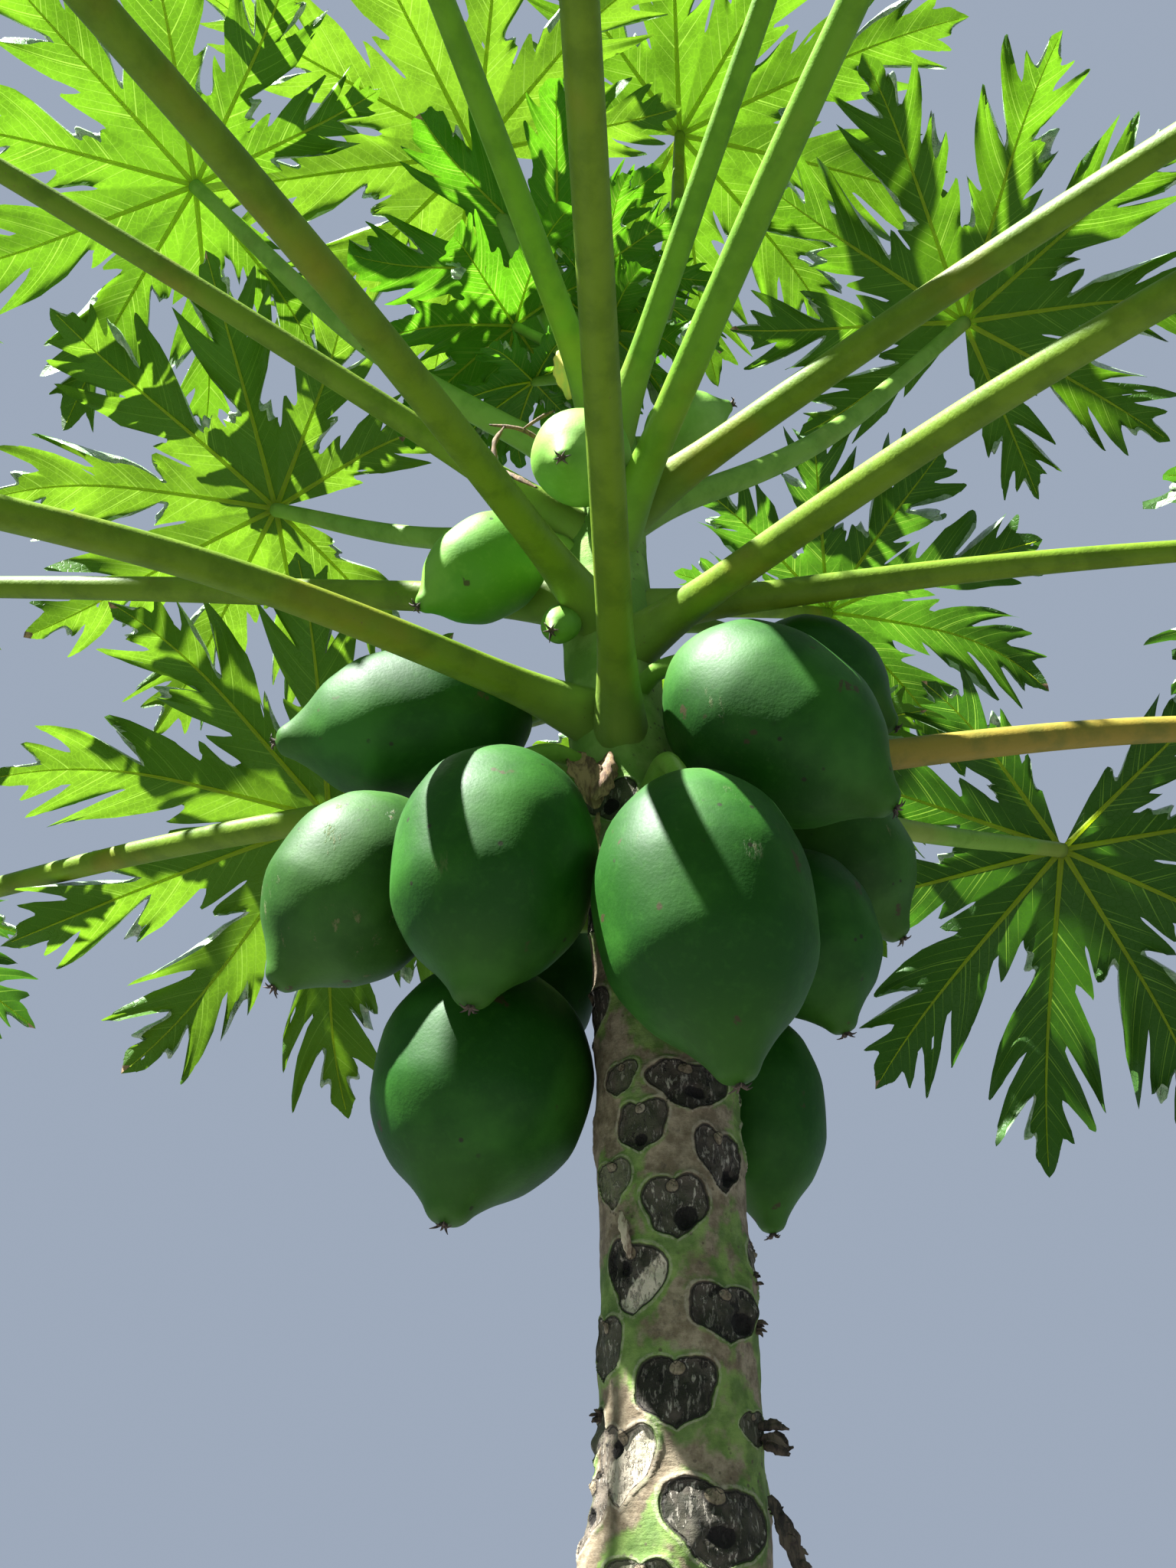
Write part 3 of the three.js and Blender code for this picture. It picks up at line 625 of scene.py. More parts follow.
# Leaf scars that the view shows: height, azimuth from +X, width, how flat each is, how dark, how high bare
# wood reaches on it, and the place and size of its hollow; what lies on a scar is in half widths from its
# middle
NO_WOOD = -4
SEEN_SCARS = [
    (1666, 229, 34, 1.3, 0.5, NO_WOOD, 0, 0, 0),
    (1657, 286, 54, 1.5, 0.85, NO_WOOD, 0.15, -0.1, 0.35),
    (1628, 246, 46, 1.25, 0.7, NO_WOOD, -0.05, -0.4, 0.3),
    (1606, 309, 40, 0.9, 0.8, NO_WOOD, 0.4, -0.45, 0.4),
    (1592, 217, 40, 1.15, 0.15, NO_WOOD, 0, 0, 0),
    (1570, 269, 44, 1.0, 0.8, NO_WOOD, 0.36, -0.25, 0.5),
    (1525, 236, 42, 0.85, 0.9, 0.0, -0.45, 0.45, 0.3),
    (1502, 302, 60, 1.6, 0.85, NO_WOOD, 0.55, -0.1, 0.5),
    (1483, 206, 42, 1.0, 0.7, NO_WOOD, 0, 0, 0),
    (1452, 264, 61, 1.4, 0.9, NO_WOOD, 0, 0, 0),
    (1434, 325, 34, 1.5, 0.6, NO_WOOD, 0, 0, 0),
    (1432, 186, 40, 1.2, 0.6, NO_WOOD, 0, 0, 0),
    (1411, 226, 44, 0.95, 0.2, 0.7, -0.35, 0.6, 0.3),
    (1385, 192, 50, 1.1, 0.5, NO_WOOD, 0.2, 0, 0.3),
    (1374, 290, 68, 1.35, 0.85, NO_WOOD, 0.05, -0.1, 0.35),
    (1338, 240, 46, 1.2, 0.3, NO_WOOD, 0, 0, 0),
]
# Bulges of the trunk: height, azimuth, half height, half width and rise
BULGES = [(1350, 194, 36, 36, 14), (1432, 186, 8, 8, 4), (1530, 327, 8, 8, 3), (1509, 327, 9, 8, 4)]
# How far the trunk bows aside under the fruits, at which height and over what half height
BOW = 5
BOW_AT = 1690
BOW_HALF = 110
# The spiral of the other scars, which skips the bark that shows the scars above
SCARS_FROM = 60
SCARS_TO = 1900
SCAR_CLIMB = (9, 13)
SCAR_TURN = 137.5
SCAR_SPREAD = 6
SCAR_CLEAR = 58
SEEN_HEIGHTS = (1345, 1690)
SEEN_TURNS = (205, 335)
# The least and the most of a scar's width, flatness, darkness and its hollow's two places
SCAR_LEAST = (42, 1.1, 0.3, -0.4, -0.4)
SCAR_MOST = (60, 1.5, 0.95, 0.4, 0.4)
# A heart's width beside its circle, its cushion and bud in half widths, and a scar's usual width
HEART_WIDE = 1.12
CUSHION_WIDE = 1.25
USUAL_SCAR = 52
BUD_AT = 0.9
BUD_SIZE = 0.34
OUTLINE_REACH = 1.6
# Heights and depths of the bark's relief, under, around and in the scars and between them
CUSHION = 4.5
RIM = 1.3
SUNK = 1.8
PIT = 5
WANDER = 2
ROUGH = 0.6
SCAR_ROUGH = 1.5
FLARE = 4
# How far the ridges under the stalks' feet stand out, their half width and their height
RIDGE = 4
RIDGE_HALF = 12
RIDGE_DROP = 75


def wrapped(angle):
    """An angle brought to within half a turn of zero."""
    return (angle + pi) % (2 * pi) - pi


def scars():
    """The seen scars, then a spiral of others up the trunk, wherever there is room."""
    rng = np.random.default_rng(SEED)
    made = list(SEEN_SCARS)
    height, turn = SCARS_FROM, 0
    while height < SCARS_TO:
        turn = (turn + SCAR_TURN + rng.uniform(-SCAR_SPREAD, SCAR_SPREAD)) % 360
        height += rng.uniform(*SCAR_CLIMB)
        radius = trunk_at(height)[1]
        gaps = [hypot(height - row[0], wrapped(radians(turn - row[1])) * radius) for row in made]
        in_view = SEEN_HEIGHTS[0] < height < SEEN_HEIGHTS[1] and SEEN_TURNS[0] < turn < SEEN_TURNS[1]
        width, flat, dark, hole_x, hole_y = rng.uniform(SCAR_LEAST, SCAR_MOST)
        wood = rng.uniform(-0.4, 0.6) if rng.random() < 0.2 else NO_WOOD
        hole = rng.uniform(0.25, 0.5) if rng.random() < 0.45 else 0
        if min(gaps) > SCAR_CLEAR and not in_view:
            made.append((height, turn, width, flat, dark, wood, hole_x, hole_y, hole))
    return made


def heart(x, y):
    """A field that is 0 on a heart's outline, about -1 inside and rising outside; its point is at -y."""
    return x * x + y * y - 1 - np.cbrt(x * x) * y


def scar_layers(height, turn, radius):
    """The scars' outlines, tones, bare wood, hollows, swelling and buds at each point of the bark."""
    field = np.full_like(height, OUTLINE_REACH)
    dark, hollow, swell, bud = np.zeros((4, len(height)))
    wood = np.full_like(height, -1)
    for h, azimuth, width, flat, darkness, wood_line, hole_x, hole_y, hole in scars():
        half = width / 2 / HEART_WIDE
        x = wrapped(turn - radians(azimuth)) * radius / half
        y = (height - h) / half * flat
        near = (np.abs(x) < 2.6) & (np.abs(y) < 2.6)
        x, y = x[near] * (1 + 0.12 * sin(h)), y[near] + 0.12 * x[near] * cos(h * 3)
        around = np.arctan2(y, x)
        own = heart(x, y) + 0.14 * np.sin(3 * around + h) + 0.09 * np.sin(5 * around + 2 * h)
        from_bud = np.hypot(x - 0.1 * sin(h), y - BUD_AT)
        bud[near] = np.maximum(bud[near], 1 - from_bud / BUD_SIZE)
        closer = own < field[near]
        field[near] = np.where(closer, own, field[near])
        dark[near] = np.where(closer, darkness, dark[near])
        wood[near] = np.where(closer, np.clip(0.92 * x + wood_line - y, -1, 1), wood[near])
        if hole:
            hollow[near] = np.maximum(hollow[near], 1 - np.hypot(x - hole_x, y - hole_y) / hole)
        swell[near] += np.exp(-((x * x + (y + 0.1) ** 2) / CUSHION_WIDE ** 2)) * width / USUAL_SCAR
        swell[near] += np.clip(1 - (from_bud / 0.3) ** 2, 0, 1) * 0.6
    return field, dark, wood, hollow, swell, bud


def stalk_ridges(height, turn, radius):
    """How far the bark is raised by the ridges that run down from the stalks' feet, from 0 to about 1."""
    raised = np.zeros_like(height)
    for _, foot, hub, _, stout, _ in LEAVES:
        across = wrapped(turn - atan2(hub[1], hub[0] - trunk_at(foot)[0])) * radius
        fall = np.clip(1 - np.abs(foot - height - RIDGE_DROP / 3) / RIDGE_DROP, 0, 1)
        raised = np.maximum(raised, np.exp(-(across / (RIDGE_HALF * stout)) ** 2) * fall)
    return raised


def trunk_surface(height, turn):
    """Points of the bark and what each shows of the scars."""
    middle, radius = trunk_at(height)
    middle = middle - BOW * np.exp(-((height - BOW_AT) / BOW_HALF) ** 2)
    field, dark, wood, hollow, swell, bud = scar_layers(height, turn, radius)
    inside = np.clip(-field / 0.22, 0, 1)
    rim = np.exp(-((field - 0.16) / 0.2) ** 2)
    spots = [(cos(t), sin(t), z) for t, z in zip(turn, height)]
    wander = np.array([noise.noise(Vector((x * 2.2, y * 2.2, z / 34))) for x, y, z in spots])
    rough = np.array([noise.noise(Vector((x * 9, y * 9, z / 9))) for x, y, z in spots])
    fade = np.interp(height, (0, 1700, 2000), (1, 1, 0.2))
    pit = PIT * inside * np.sqrt(np.clip(hollow, 0, 1))
    relief = (CUSHION * (swell - 1) + RIM * rim - SUNK * inside - pit) * fade
    relief = relief + wander * WANDER + rough * (ROUGH + SCAR_ROUGH * inside) * fade
    relief = relief + RIDGE * stalk_ridges(height, turn, radius)
    for h, azimuth, tall, wide, rise in BULGES:
        across = wrapped(turn - radians(azimuth)) * radius
        relief = relief + rise * np.exp(-((height - h) / tall) ** 2 - (across / wide) ** 2)
    flare = np.interp(height, (0, 30, 160), (1, 1, 0)) * np.cos(turn * 5 + 0.7) * FLARE
    share = np.interp(height, (0, 6, TRUNK[-1, 0] - 20, TRUNK[-1, 0]), (0.2, 1, 1, 0))
    radius = radius + relief * share + flare
    places = np.stack([middle + radius * np.cos(turn), radius * np.sin(turn), height], axis=-1)
    return places, {"outline": field, "dark": dark, "wood": wood, "hollow": hollow, "bud": bud}


def trunk():
    lower = ("bark_lower", 0, TRUNK_PARTING, LOWER_TRUNK_ROWS)
    upper = ("bark_upper", TRUNK_PARTING, TRUNK[-1, 0], UPPER_TRUNK_ROWS)
    for name, low, high, rows in (lower, upper):
        mesh = bmesh.new()
        tall = high - low
        add_wrapped(mesh, rows, TRUNK_AROUND, lambda share, turn: trunk_surface(low + tall * share, turn))
        closed_piece(name, mesh, bark, ["trunk"])


# Leaf stalks

def blade_axes(heading, pitch, roll):
    h, p, q = (radians(angle) for angle in (heading, pitch, roll))
    forward = np.array((cos(p) * cos(h), cos(p) * sin(h), sin(p)))
    level = np.array((-sin(h), cos(h), 0))
    side = level * cos(q) + np.cross(forward, level) * sin(q)
    return forward, side, np.cross(forward, side)


def petiole_points(foot_height, hub, bow, stout, blade):
    """The line of a leaf stalk, from inside the trunk to just under the hub."""
    up = blade_axes(*blade[:3])[2]
    hub = np.array(hub, float)
    foot = foot_inside(foot_height, hub)
    half = (foot + hub) / 2 + (bow[0], 0, bow[1])
    along = catmull([foot, half, hub], np.array([1.0]))[1][0]
    lean = acos(np.clip(along @ up, -1, 1))
    rim = PETIOLE_END * stout * max(0, sin(lean) - tan(radians(blade[4])) * cos(lean))
    return [foot, half, hub - up * (BLADE_THICK / 2 + GAP + rim)]


def petiole_radius(share):
    neck = PETIOLE_FOOT + (PETIOLE_NECK - PETIOLE_FOOT) * np.sqrt(np.clip(share / NECK_AT, 0, 1))
    taper = PETIOLE_NECK + (PETIOLE_END - PETIOLE_NECK) * (share - NECK_AT) / (1 - NECK_AT)
    return np.where(share < NECK_AT, neck, taper)


def petioles():
    for name, foot, hub, bow, stout, blade in LEAVES:
        tube_piece(
            f"leaf_stalk_{name}",
            petiole_points(foot, hub, bow, stout, blade),
            lambda share, stout=stout: petiole_radius(share) * stout,
            stalk_looks[kind_of(name, STALKS, "olive")],
            f"petiole_{name}",
            PETIOLE_ROWS,
            PETIOLE_AROUND,
            STALK_RIDGES,
            FOOT_CLASP,
        )


# Leaf blades

# The numbers of a leaf piece's looks after its greens
TIP = len(leaf_greens)
VEIN = TIP + 1
ROLLED = TIP + 2


def eased_back(points):
    """Points, with what comes near the edge of the solids' room drawn back inside it."""
    low, high = (np.array(corner) / MM for corner in cad_box)
    past = np.maximum(points - (high - EASE), 0)
    short = np.maximum(low + EASE - points, 0) * (1, 1, 0)
    return points - past + EASE * np.tanh(past / EASE) + short - EASE * np.tanh(short / EASE)


class Blade:
    """One leaf's blade: its lobes' outlines, and where each flat point hangs."""

    def __init__(self, hub, lie, lobes, seed, curl=1.0):
        self.rng = np.random.default_rng(seed)
        self.hub = np.array(hub, float)
        self.forward, self.side, self.up = blade_axes(*lie[:3])
        self.reach, lift, self.bend = lie[3:]
        self.first = radians(lift)
        self.lobes = lobes
        self.curl = curl
        self.full = YOUNG_FULL if lobes is YOUNG_LOBES else 1
        self.cell = self.reach * WITHIN / BLADE_CELLS
        self.habits = {}
        for index in range(len(lobes)):
            for flank in (1, -1):
                self.habits[index, flank] = {
                    "turn": radians(self.rng.uniform(-5, 5)),
                    "drop": self.rng.uniform(0.0, 0.16),
                    "twist": self.rng.uniform(-0.7, 0.7),
                }
        self.habits[0, -1] = self.habits[0, 1]

    def half_gap(self, index):
        """Half the angle between a lobe and the next one."""
        if index + 1 < len(self.lobes):
            return radians((self.lobes[index + 1][0] - self.lobes[index][0]) / 2)
        return radians(HALF_LOBE)

    def web_cells(self, index):
        """How many rows of the web there are before a lobe and the next one part."""
        here = self.lobes[index][1]
        if index + 1 < len(self.lobes):
            radius = SINUS * PARTING * (here + self.lobes[index + 1][1]) / 2 * self.full ** 0.4
        else:
            radius = HEEL_SINUS * PARTING * here
        along = radius * sin(SLANT - self.half_gap(index)) / sin(SLANT)
        return max(2, round(along * BLADE_CELLS / WITHIN))

    def length(self, index):
        return self.lobes[index][1] * self.reach * WITHIN

    def cuts(self):
        """The lobules of a half lobe, each a little different: start, peak and end along the rib, reach."""
        vary = self.rng.uniform
        made = []
        for low, high, tall in LOBULES:
            low, high = low + vary(-0.012, 0.012), high + vary(-0.012, 0.012)
            made.append((low, low + (high - low) * vary(0.5, 0.72), high, tall * vary(0.85, 1.12)))
        return made

    def rows(self, index, cuts):
        """Distances along a lobe's rib, whole cells in the web and half cells beyond, and how each doubles.

        A side vein is the strip between the two rows that a doubled row becomes.
        """
        web = max(self.web_cells(index), self.web_cells(max(index - 1, 0)))
        length = self.length(index)
        free = length - web * self.cell
        count = ceil(free / (self.cell * 0.5))
        start = web * self.cell
        plain = np.concatenate([np.arange(web) * self.cell, start + np.linspace(0, free, count + 1)])
        peaks = {int(np.argmin(np.abs(plain - peak * length))) for _, peak, _, _ in cuts}
        rows, doubled = [], []
        for number, row in enumerate(plain):
            beyond = number - web
            in_web = beyond < 0 and number in WEB_VEINS
            past_web = beyond > 0 and beyond % FREE_VEINS == 2 and number < len(plain) - 4
            half = LOBULE_VEIN_HALF if number in peaks else VEIN_HALF if in_web or past_web else 0
            half *= 1 - 0.6 * row / length
            rows += [row, row] if half else [row]
            doubled += [-half, half] if half else [0.0]
        return np.array(rows), np.array(doubled)

    def widths(self, index, outward, rows, cuts):
        """How far a half lobe reaches along the slanted row that leaves the rib at each distance."""
        gap = index if outward else index - 1
        half = self.half_gap(gap)
        web = self.web_cells(gap) * self.cell
        to_middle = sin(half) / sin(SLANT - half)
        length = self.length(index)
        share = rows / length
        vary = self.rng.uniform
        width = self.full * np.interp(share, LOBE_NECK[:, 0], LOBE_NECK[:, 1])
        width = width * (1 + 0.08 * np.sin(share * 40 + vary(0, 6)))
        for low, peak, high, tall in cuts:
            rise = np.clip((share - low) / (peak - low), 0, 1)
            tooth = (rise * vary(1.6, 2.6) + vary(0, 1)) % 1
            scallop = 1 - 0.1 * (rise < 0.93) * np.abs(2 * tooth - 1) ** 3
            rear = (0.45 + 0.55 * np.sin(rise * pi / 2) ** 0.75) * scallop
            fore = 1 - 0.45 * np.clip((share - peak) / (high - peak), 0, 1) ** 2.1
            width = np.where((share > low) & (share < high), np.maximum(width, tall * rear * fore), width)
        beside = np.convolve(np.pad(width, 1, mode="edge"), (0.33, 0.34, 0.33), mode="valid")
        width = np.minimum(np.maximum(width, beside), 0.93 * to_middle * share)
        ease = np.clip((rows - web) / (0.035 * length), 0, 1)
        ease = ease * ease * (3 - 2 * ease)
        width = width * length
        width = width * ease + web * to_middle * (1 - ease)
        width[-1] = 0
        return np.where(rows <= web + 1e-9, rows * to_middle, width)

    def roll(self, index, outward, rows):
        """The angle by which each row's outer part rolls under, strongest in a few places of some halves."""
        gap = index if outward else index - 1
        web = self.web_cells(gap) * self.cell
        length = self.length(index)
        vary = self.rng.uniform
        slight = vary() < SLIGHT_SHARE * self.full / self.curl ** 2
        strength = vary(*SLIGHT_ROLL) if slight else vary(*STRONG_ROLL) * self.curl
        waves = np.clip(np.sin(rows / length * vary(11, 21) + vary(0, 6)), 0, 1) ** 1.2
        return strength * waves * np.clip((rows - web) / (0.08 * length), 0, 1) + 1e-3

    def place(self, index, flank, outward, along, across, offset=0.0, droop=0.0):
        """Where a point hangs that lies so far along the rib and then so far out along its slanted row."""
        length = self.length(index)
        habit = self.habits[index, flank]
        sign = flank * (1 if outward else -1)
        sweep = np.clip((along / length - 0.27) / 0.12, 0, 1) * across / (0.4 * length)
        x = along + across * cos(SLANT) * (1 + 0.13 * sweep)
        y = across * sin(SLANT) * (1 - 0.24 * sweep)
        distance = np.maximum(np.hypot(x, y), 1e-6)
        angle = sign * np.arctan2(y, x) + flank * radians(self.lobes[index][0])
        free = np.clip((distance / length - FREE_FROM) / (1 - FREE_FROM), 0, 1.2)
        angle = angle + habit["turn"] * free ** 2
        sway = 1 + LOBE_SWAY * np.sin(LOBE_WAVE * angle + self.hub[0])
        curl = np.radians(self.bend * sway) / self.reach
        last = self.first - curl * distance
        out = (sin(self.first) - np.sin(last)) / curl
        rise = (np.cos(last) - cos(self.first)) / curl + BLADE_FOLD * y
        margin = np.clip(across / (0.3 * length), 0, 1) ** 2
        wander = 7 * habit["twist"] + 2 * sign
        ripple = (np.sin(along / length * 19 + wander) + 0.6 * np.sin(along / length * 43 - wander)) * margin
        rise = rise - habit["drop"] * length * free ** 2 + (0.25 + sign * habit["twist"]) * y * free
        rise = rise + ripple * free * RIPPLE * length - droop
        ray = self.forward * np.cos(angle)[..., None] + self.side * np.sin(angle)[..., None]
        lifted = (rise + offset * np.cos(last))[..., None] * self.up
        return eased_back(self.hub + ray * (out - offset * np.sin(last))[..., None] + lifted)

    def halves(self):
        """Each half lobe as its lobe's number, its flank, and whether it faces outward."""
        for flank in (1, -1):
            for index in range(len(self.lobes)):
                for outward in (True, False):
                    if index or outward:
                        yield index, flank, outward


def grid_faces(rows, columns, start, turned):
    """The four corners of each cell of a grid of points, row by row."""
    first = np.arange(rows * columns).reshape(rows, columns) + start
    cells = np.stack([first[:-1, :-1], first[1:, :-1], first[1:, 1:], first[:-1, 1:]], axis=-1).reshape(-1, 4)
    return cells[:, ::-1] if turned else cells


def blade_skin(blade, green):
    """A blade's points, its faces and the number of each face's look, most of which are one green's."""
    points, faces, looks = [], [], []
    start = 0
    for index, flank, outward in blade.halves():
        cuts = blade.cuts()
        rows, doubled = blade.rows(index, cuts)
        widths = blade.widths(index, outward, rows, cuts)[:, None]
        roll = blade.roll(index, outward, rows)[:, None]
        across = np.linspace(0, 1, BLADE_ACROSS + 1)[None, :]
        along = rows[:, None] + doubled[:, None] * (1 - across)
        rolled = np.clip(across - ROLL_FROM, 0, 1)
        angle = roll * rolled / (1 - ROLL_FROM)
        reach = across - rolled + rolled * np.sinc(angle / pi)
        droop = rolled * angle / 2 * np.sinc(angle / 2 / pi) ** 2
        grid = blade.place(index, flank, outward, along, widths * reach, droop=widths * droop)
        points.append(grid.reshape(-1, 3))
        turned = (flank == 1) != outward
        cells = grid_faces(len(rows), BLADE_ACROSS + 1, start, turned)
        brown = blade.rng.random() < BROWN_TIPS
        share = np.repeat(rows[:-1] / blade.length(index), BLADE_ACROSS)
        look = np.where((share > TIP_FROM) & brown, TIP, green)
        look = np.where(np.repeat(doubled[:-1] < 0, BLADE_ACROSS), VEIN, look)
        look = np.where(angle[:-1, 1:].reshape(-1) > ROLLED_OVER, ROLLED, look)
        keep = (blade.rng.random(len(cells)) > HOLES) | (share <= HOLES_FROM)
        faces.append(cells[keep])
        looks.append(look[keep])
        start += grid.shape[0] * grid.shape[1]
    return np.vstack(points), np.vstack(faces), np.concatenate(looks)


def array_piece(name, points, faces, looks, materials, stands_for):
    """Makes a piece of many small faces from arrays, with its doubles welded."""
    data = bpy.data.meshes.new(name)
    data.from_pydata((points * MM).tolist(), [], faces.tolist())
    data.polygons.foreach_set("material_index", looks)
    mesh = bmesh.new()
    mesh.from_mesh(data)
    bpy.data.meshes.remove(data)
    bmesh.ops.remove_doubles(mesh, verts=mesh.verts, dist=2e-5)
    piece_of(name, mesh, materials, stands_for)


def thin_tubes(paths, radii, ups):
    """Five-sided tubes along paths of equal counts, all as one set of points and faces."""
    along = unit(np.gradient(paths, axis=1))
    side = unit(np.cross(along, ups))
    over = np.cross(side, along)
    rings = []
    for corner in range(RIB_SIDES):
        turn = 2 * pi * corner / RIB_SIDES - pi / 2
        rings.append(paths + (side * cos(turn) + over * sin(turn)) * radii[..., None])
    points = np.stack(rings, axis=2)
    count, steps = points.shape[:2]
    numbers = np.arange(count * steps * RIB_SIDES).reshape(count, steps, RIB_SIDES)
    following = np.roll(numbers, -1, axis=2)
    corners = [numbers[:, :-1], following[:, :-1], following[:, 1:], numbers[:, 1:]]
    return points.reshape(-1, 3), np.stack(corners, axis=-1).reshape(-1, 4)


def blade_ribs(blade):
    """The ribs under one blade as points and faces."""
    paths = []
    for index, flank, outward in blade.halves():
        if outward and (index or flank > 0):
            along = np.linspace(0.004, 0.97, RIB_STEPS) * blade.length(index)
            paths.append(blade.place(index, flank, True, along, np.zeros(RIB_STEPS), -0.9))
    paths = np.array(paths)
    taper = np.linspace(1, 0.12, RIB_STEPS)
    radii = np.tile(taper * RIB_RADIUS * blade.reach / 340, (len(paths), 1))
    return thin_tubes(paths, radii, blade.up)


def joined(parts):
    """Joins sets of points and faces."""
    starts = np.cumsum([0] + [len(points) for points, _ in parts[:-1]])
    points = np.vstack([points for points, _ in parts])
    return points, np.vstack([faces + start for (_, faces), start in zip(parts, starts)])


# The leaves that each piece joins
LEAF_GROUPS = {
    "leaves_front": ["01", "02", "03", "04", "05", "06"],
    "leaves_left": ["09", "10", "13", "14", "19", "21"],
    "leaves_top": ["11", "12", "15", "16", "20"],
    "leaves_right": ["07", "08", "17", "18", "22"],
}


def leaves():
    ribs = []
    blades = {}
    for number, (name, _, hub, _, _, lie) in enumerate(LEAVES):
        blade = Blade(hub, lie, LOBES, SEED + number, CURL if name in CURLED else 1)
        blades[name] = blade_skin(blade, GREEN_OF.get(name, number * 3 % len(leaf_greens)))
        ribs.append(blade_ribs(blade))
    materials = [*leaf_greens, husk, side_vein, rolled]
    for group, names in LEAF_GROUPS.items():
        points, faces = joined([blades[name][:2] for name in names])
        looks = np.concatenate([blades[name][2] for name in names])
        array_piece(group, points, faces, looks, materials, [f"leaf_{name}" for name in names])
    materials[TIP - 1] = young_green
    for number, (name, hub, lie) in enumerate(YOUNG_LEAVES):
        blade = Blade(hub, lie, YOUNG_LOBES, YOUNG_SEED + number)
        points, faces, looks = blade_skin(blade, TIP - 1)
        array_piece(f"leaf_{name}", points, faces, looks, materials, ["young_leaves"])
        ribs.append(blade_ribs(blade))
    points, faces = joined(ribs)
    array_piece("leaf_ribs", points, faces, np.zeros(len(faces), int), [rib], [])


# Bud and young stalks

def young_crown():
    bottom = np.array((trunk_at(BUD_FOOT)[0], 0, BUD_FOOT))
    top = bottom + (0, 0, BUD_TOP - BUD_FOOT)
    line = [bottom - (0, 0, BUD_RADIUS), (bottom + top) / 2, top]
    tube_piece("bud", line, lambda share: BUD_RADIUS * (1.2 - share), stalk_looks["pale"], "young_leaves")
    foot = bottom + (0, 0, BUD_RADIUS)
    for name, hub, _ in YOUNG_LEAVES:
        tube_piece(
            f"stalk_{name}",
            [foot, (foot + hub) / 2, np.array(hub, float)],
            lambda share: petiole_radius(NECK_AT + share * (1 - NECK_AT)) * YOUNG_STOUT,
            stalk_looks["pale"],
            "young_leaves",
            ridges=STALK_RIDGES,
        )


# Fruits

def profile_radius(share):
    """The fruit's outline, smoothed between the rows of FRUIT_PROFILE."""
    xs, ys = FRUIT_PROFILE[:, 0], FRUIT_PROFILE[:, 1]
    steps = np.diff(ys) / np.diff(xs)
    before, after = steps[:-1], steps[1:]
    inner = np.where(before * after > 0, 2 * before * after / (before + after + 1e-9), 0)
    slopes = np.concatenate([steps[:1], inner, steps[-1:]])
    cell = np.clip(np.searchsorted(xs, share, side="right") - 1, 0, len(xs) - 2)
    wide = xs[cell + 1] - xs[cell]
    t = (share - xs[cell]) / wide
    return (
        (2 * t ** 3 - 3 * t ** 2 + 1) * ys[cell]
        + (t ** 3 - 2 * t ** 2 + t) * wide * slopes[cell]
        + (3 * t ** 2 - 2 * t ** 3) * ys[cell + 1]
        + (t ** 3 - t ** 2) * wide * slopes[cell + 1]
    )


def axes_of(top, tip):
    """A fruit's axis and two directions across it."""
    axis = unit(tip - top)
    side = unit(np.cross(axis, (0.3, 1, 0.2)))
    return axis, side, np.cross(axis, side)


def fruit_shape(top, tip, width, seed):
    rng = np.random.default_rng(seed)
    start = rng.uniform(0, pi)
    belly = rng.uniform(-0.03, 0.05)
    _, side, over = axes_of(top, tip)

    def shape(share, turn):
        along = 0.5 - 0.5 * np.cos(share * pi)
        radius = np.maximum(profile_radius(along), 0) * width / 2
        body = np.sin(pi * along) ** 0.7
        radius = radius * (1 + 0.014 * body * np.cos(5 * turn + start) + belly * body * np.cos(turn + start))
        offset = side * np.cos(turn)[:, None] + over * np.sin(turn)[:, None]
        spine = top + (tip - top) * along[:, None]
        return spine + offset * radius[:, None], {"share": along}

    return shape


def stalk_points(top, tip, foot_height):
    foot = foot_inside(foot_height, top)
    over = foot + (top - foot) * STALK_ARCH
    over[2] = max(foot[2], top[2]) + STALK_RADIUS / 2
    return [foot, over, top + unit(tip - top) * STALK_RADIUS]


def add_stigma(mesh, top, tip, width, seed):
    """The dried star at a fruit's tip: short curled points."""
    rng = np.random.default_rng(seed)
    axis, side, over = axes_of(top, tip)
    size = STIGMA + width / 30 if width > GROWN else YOUNG_STIGMA
    for point in range(6):
        turn = point * pi / 3 + rng.uniform(-0.3, 0.3)
        out = side * cos(turn) + over * sin(turn)
        reach = size * rng.uniform(0.6, 1.1)
        middle = tip + axis * 2 + out * reach * 0.5
        line = [tip - axis * 3, middle, tip + axis * rng.uniform(0, 4) + out * reach]
        add_wrapped(mesh, 5, 5, tube_shape(line, lambda share: 1.7 * (1.15 - share)))


def fruits():
    stigmas = bmesh.new()
    stalks = bmesh.new()
    for number, (name, top, tip, width, foot) in enumerate([*FRUITS, *YOUNG_FRUITS]):
        top, tip = np.array(top, float), np.array(tip, float)
        seed = SEED + number
        mesh = bmesh.new()
        add_wrapped(mesh, FRUIT_ROWS, FRUIT_AROUND, fruit_shape(top, tip, width, seed))
        skin = fruit_looks[kind_of(name, SKINS, "deep")]
        stands_for = [f"fruit_{name}"] if number < len(FRUITS) else []
        closed_piece(f"pawpaw_{name}", mesh, skin, stands_for)
        thick = STALK_RADIUS * min(1, width / 120)
        add_wrapped(stalks, 20, 12, tube_shape(
            stalk_points(top, tip, foot),
            lambda share, thick=thick: thick * (1 + STALK_ENDS * np.abs(2 * share - 1) ** 4),
            FRUIT_STALK_RIDGES,
        ))
        add_stigma(stigmas, top, tip, width, seed)
    closed_piece("fruit_stalks", stalks, stalk_looks["pale"])
    closed_piece("dried_stigmas", stigmas, char)


# Dried scraps

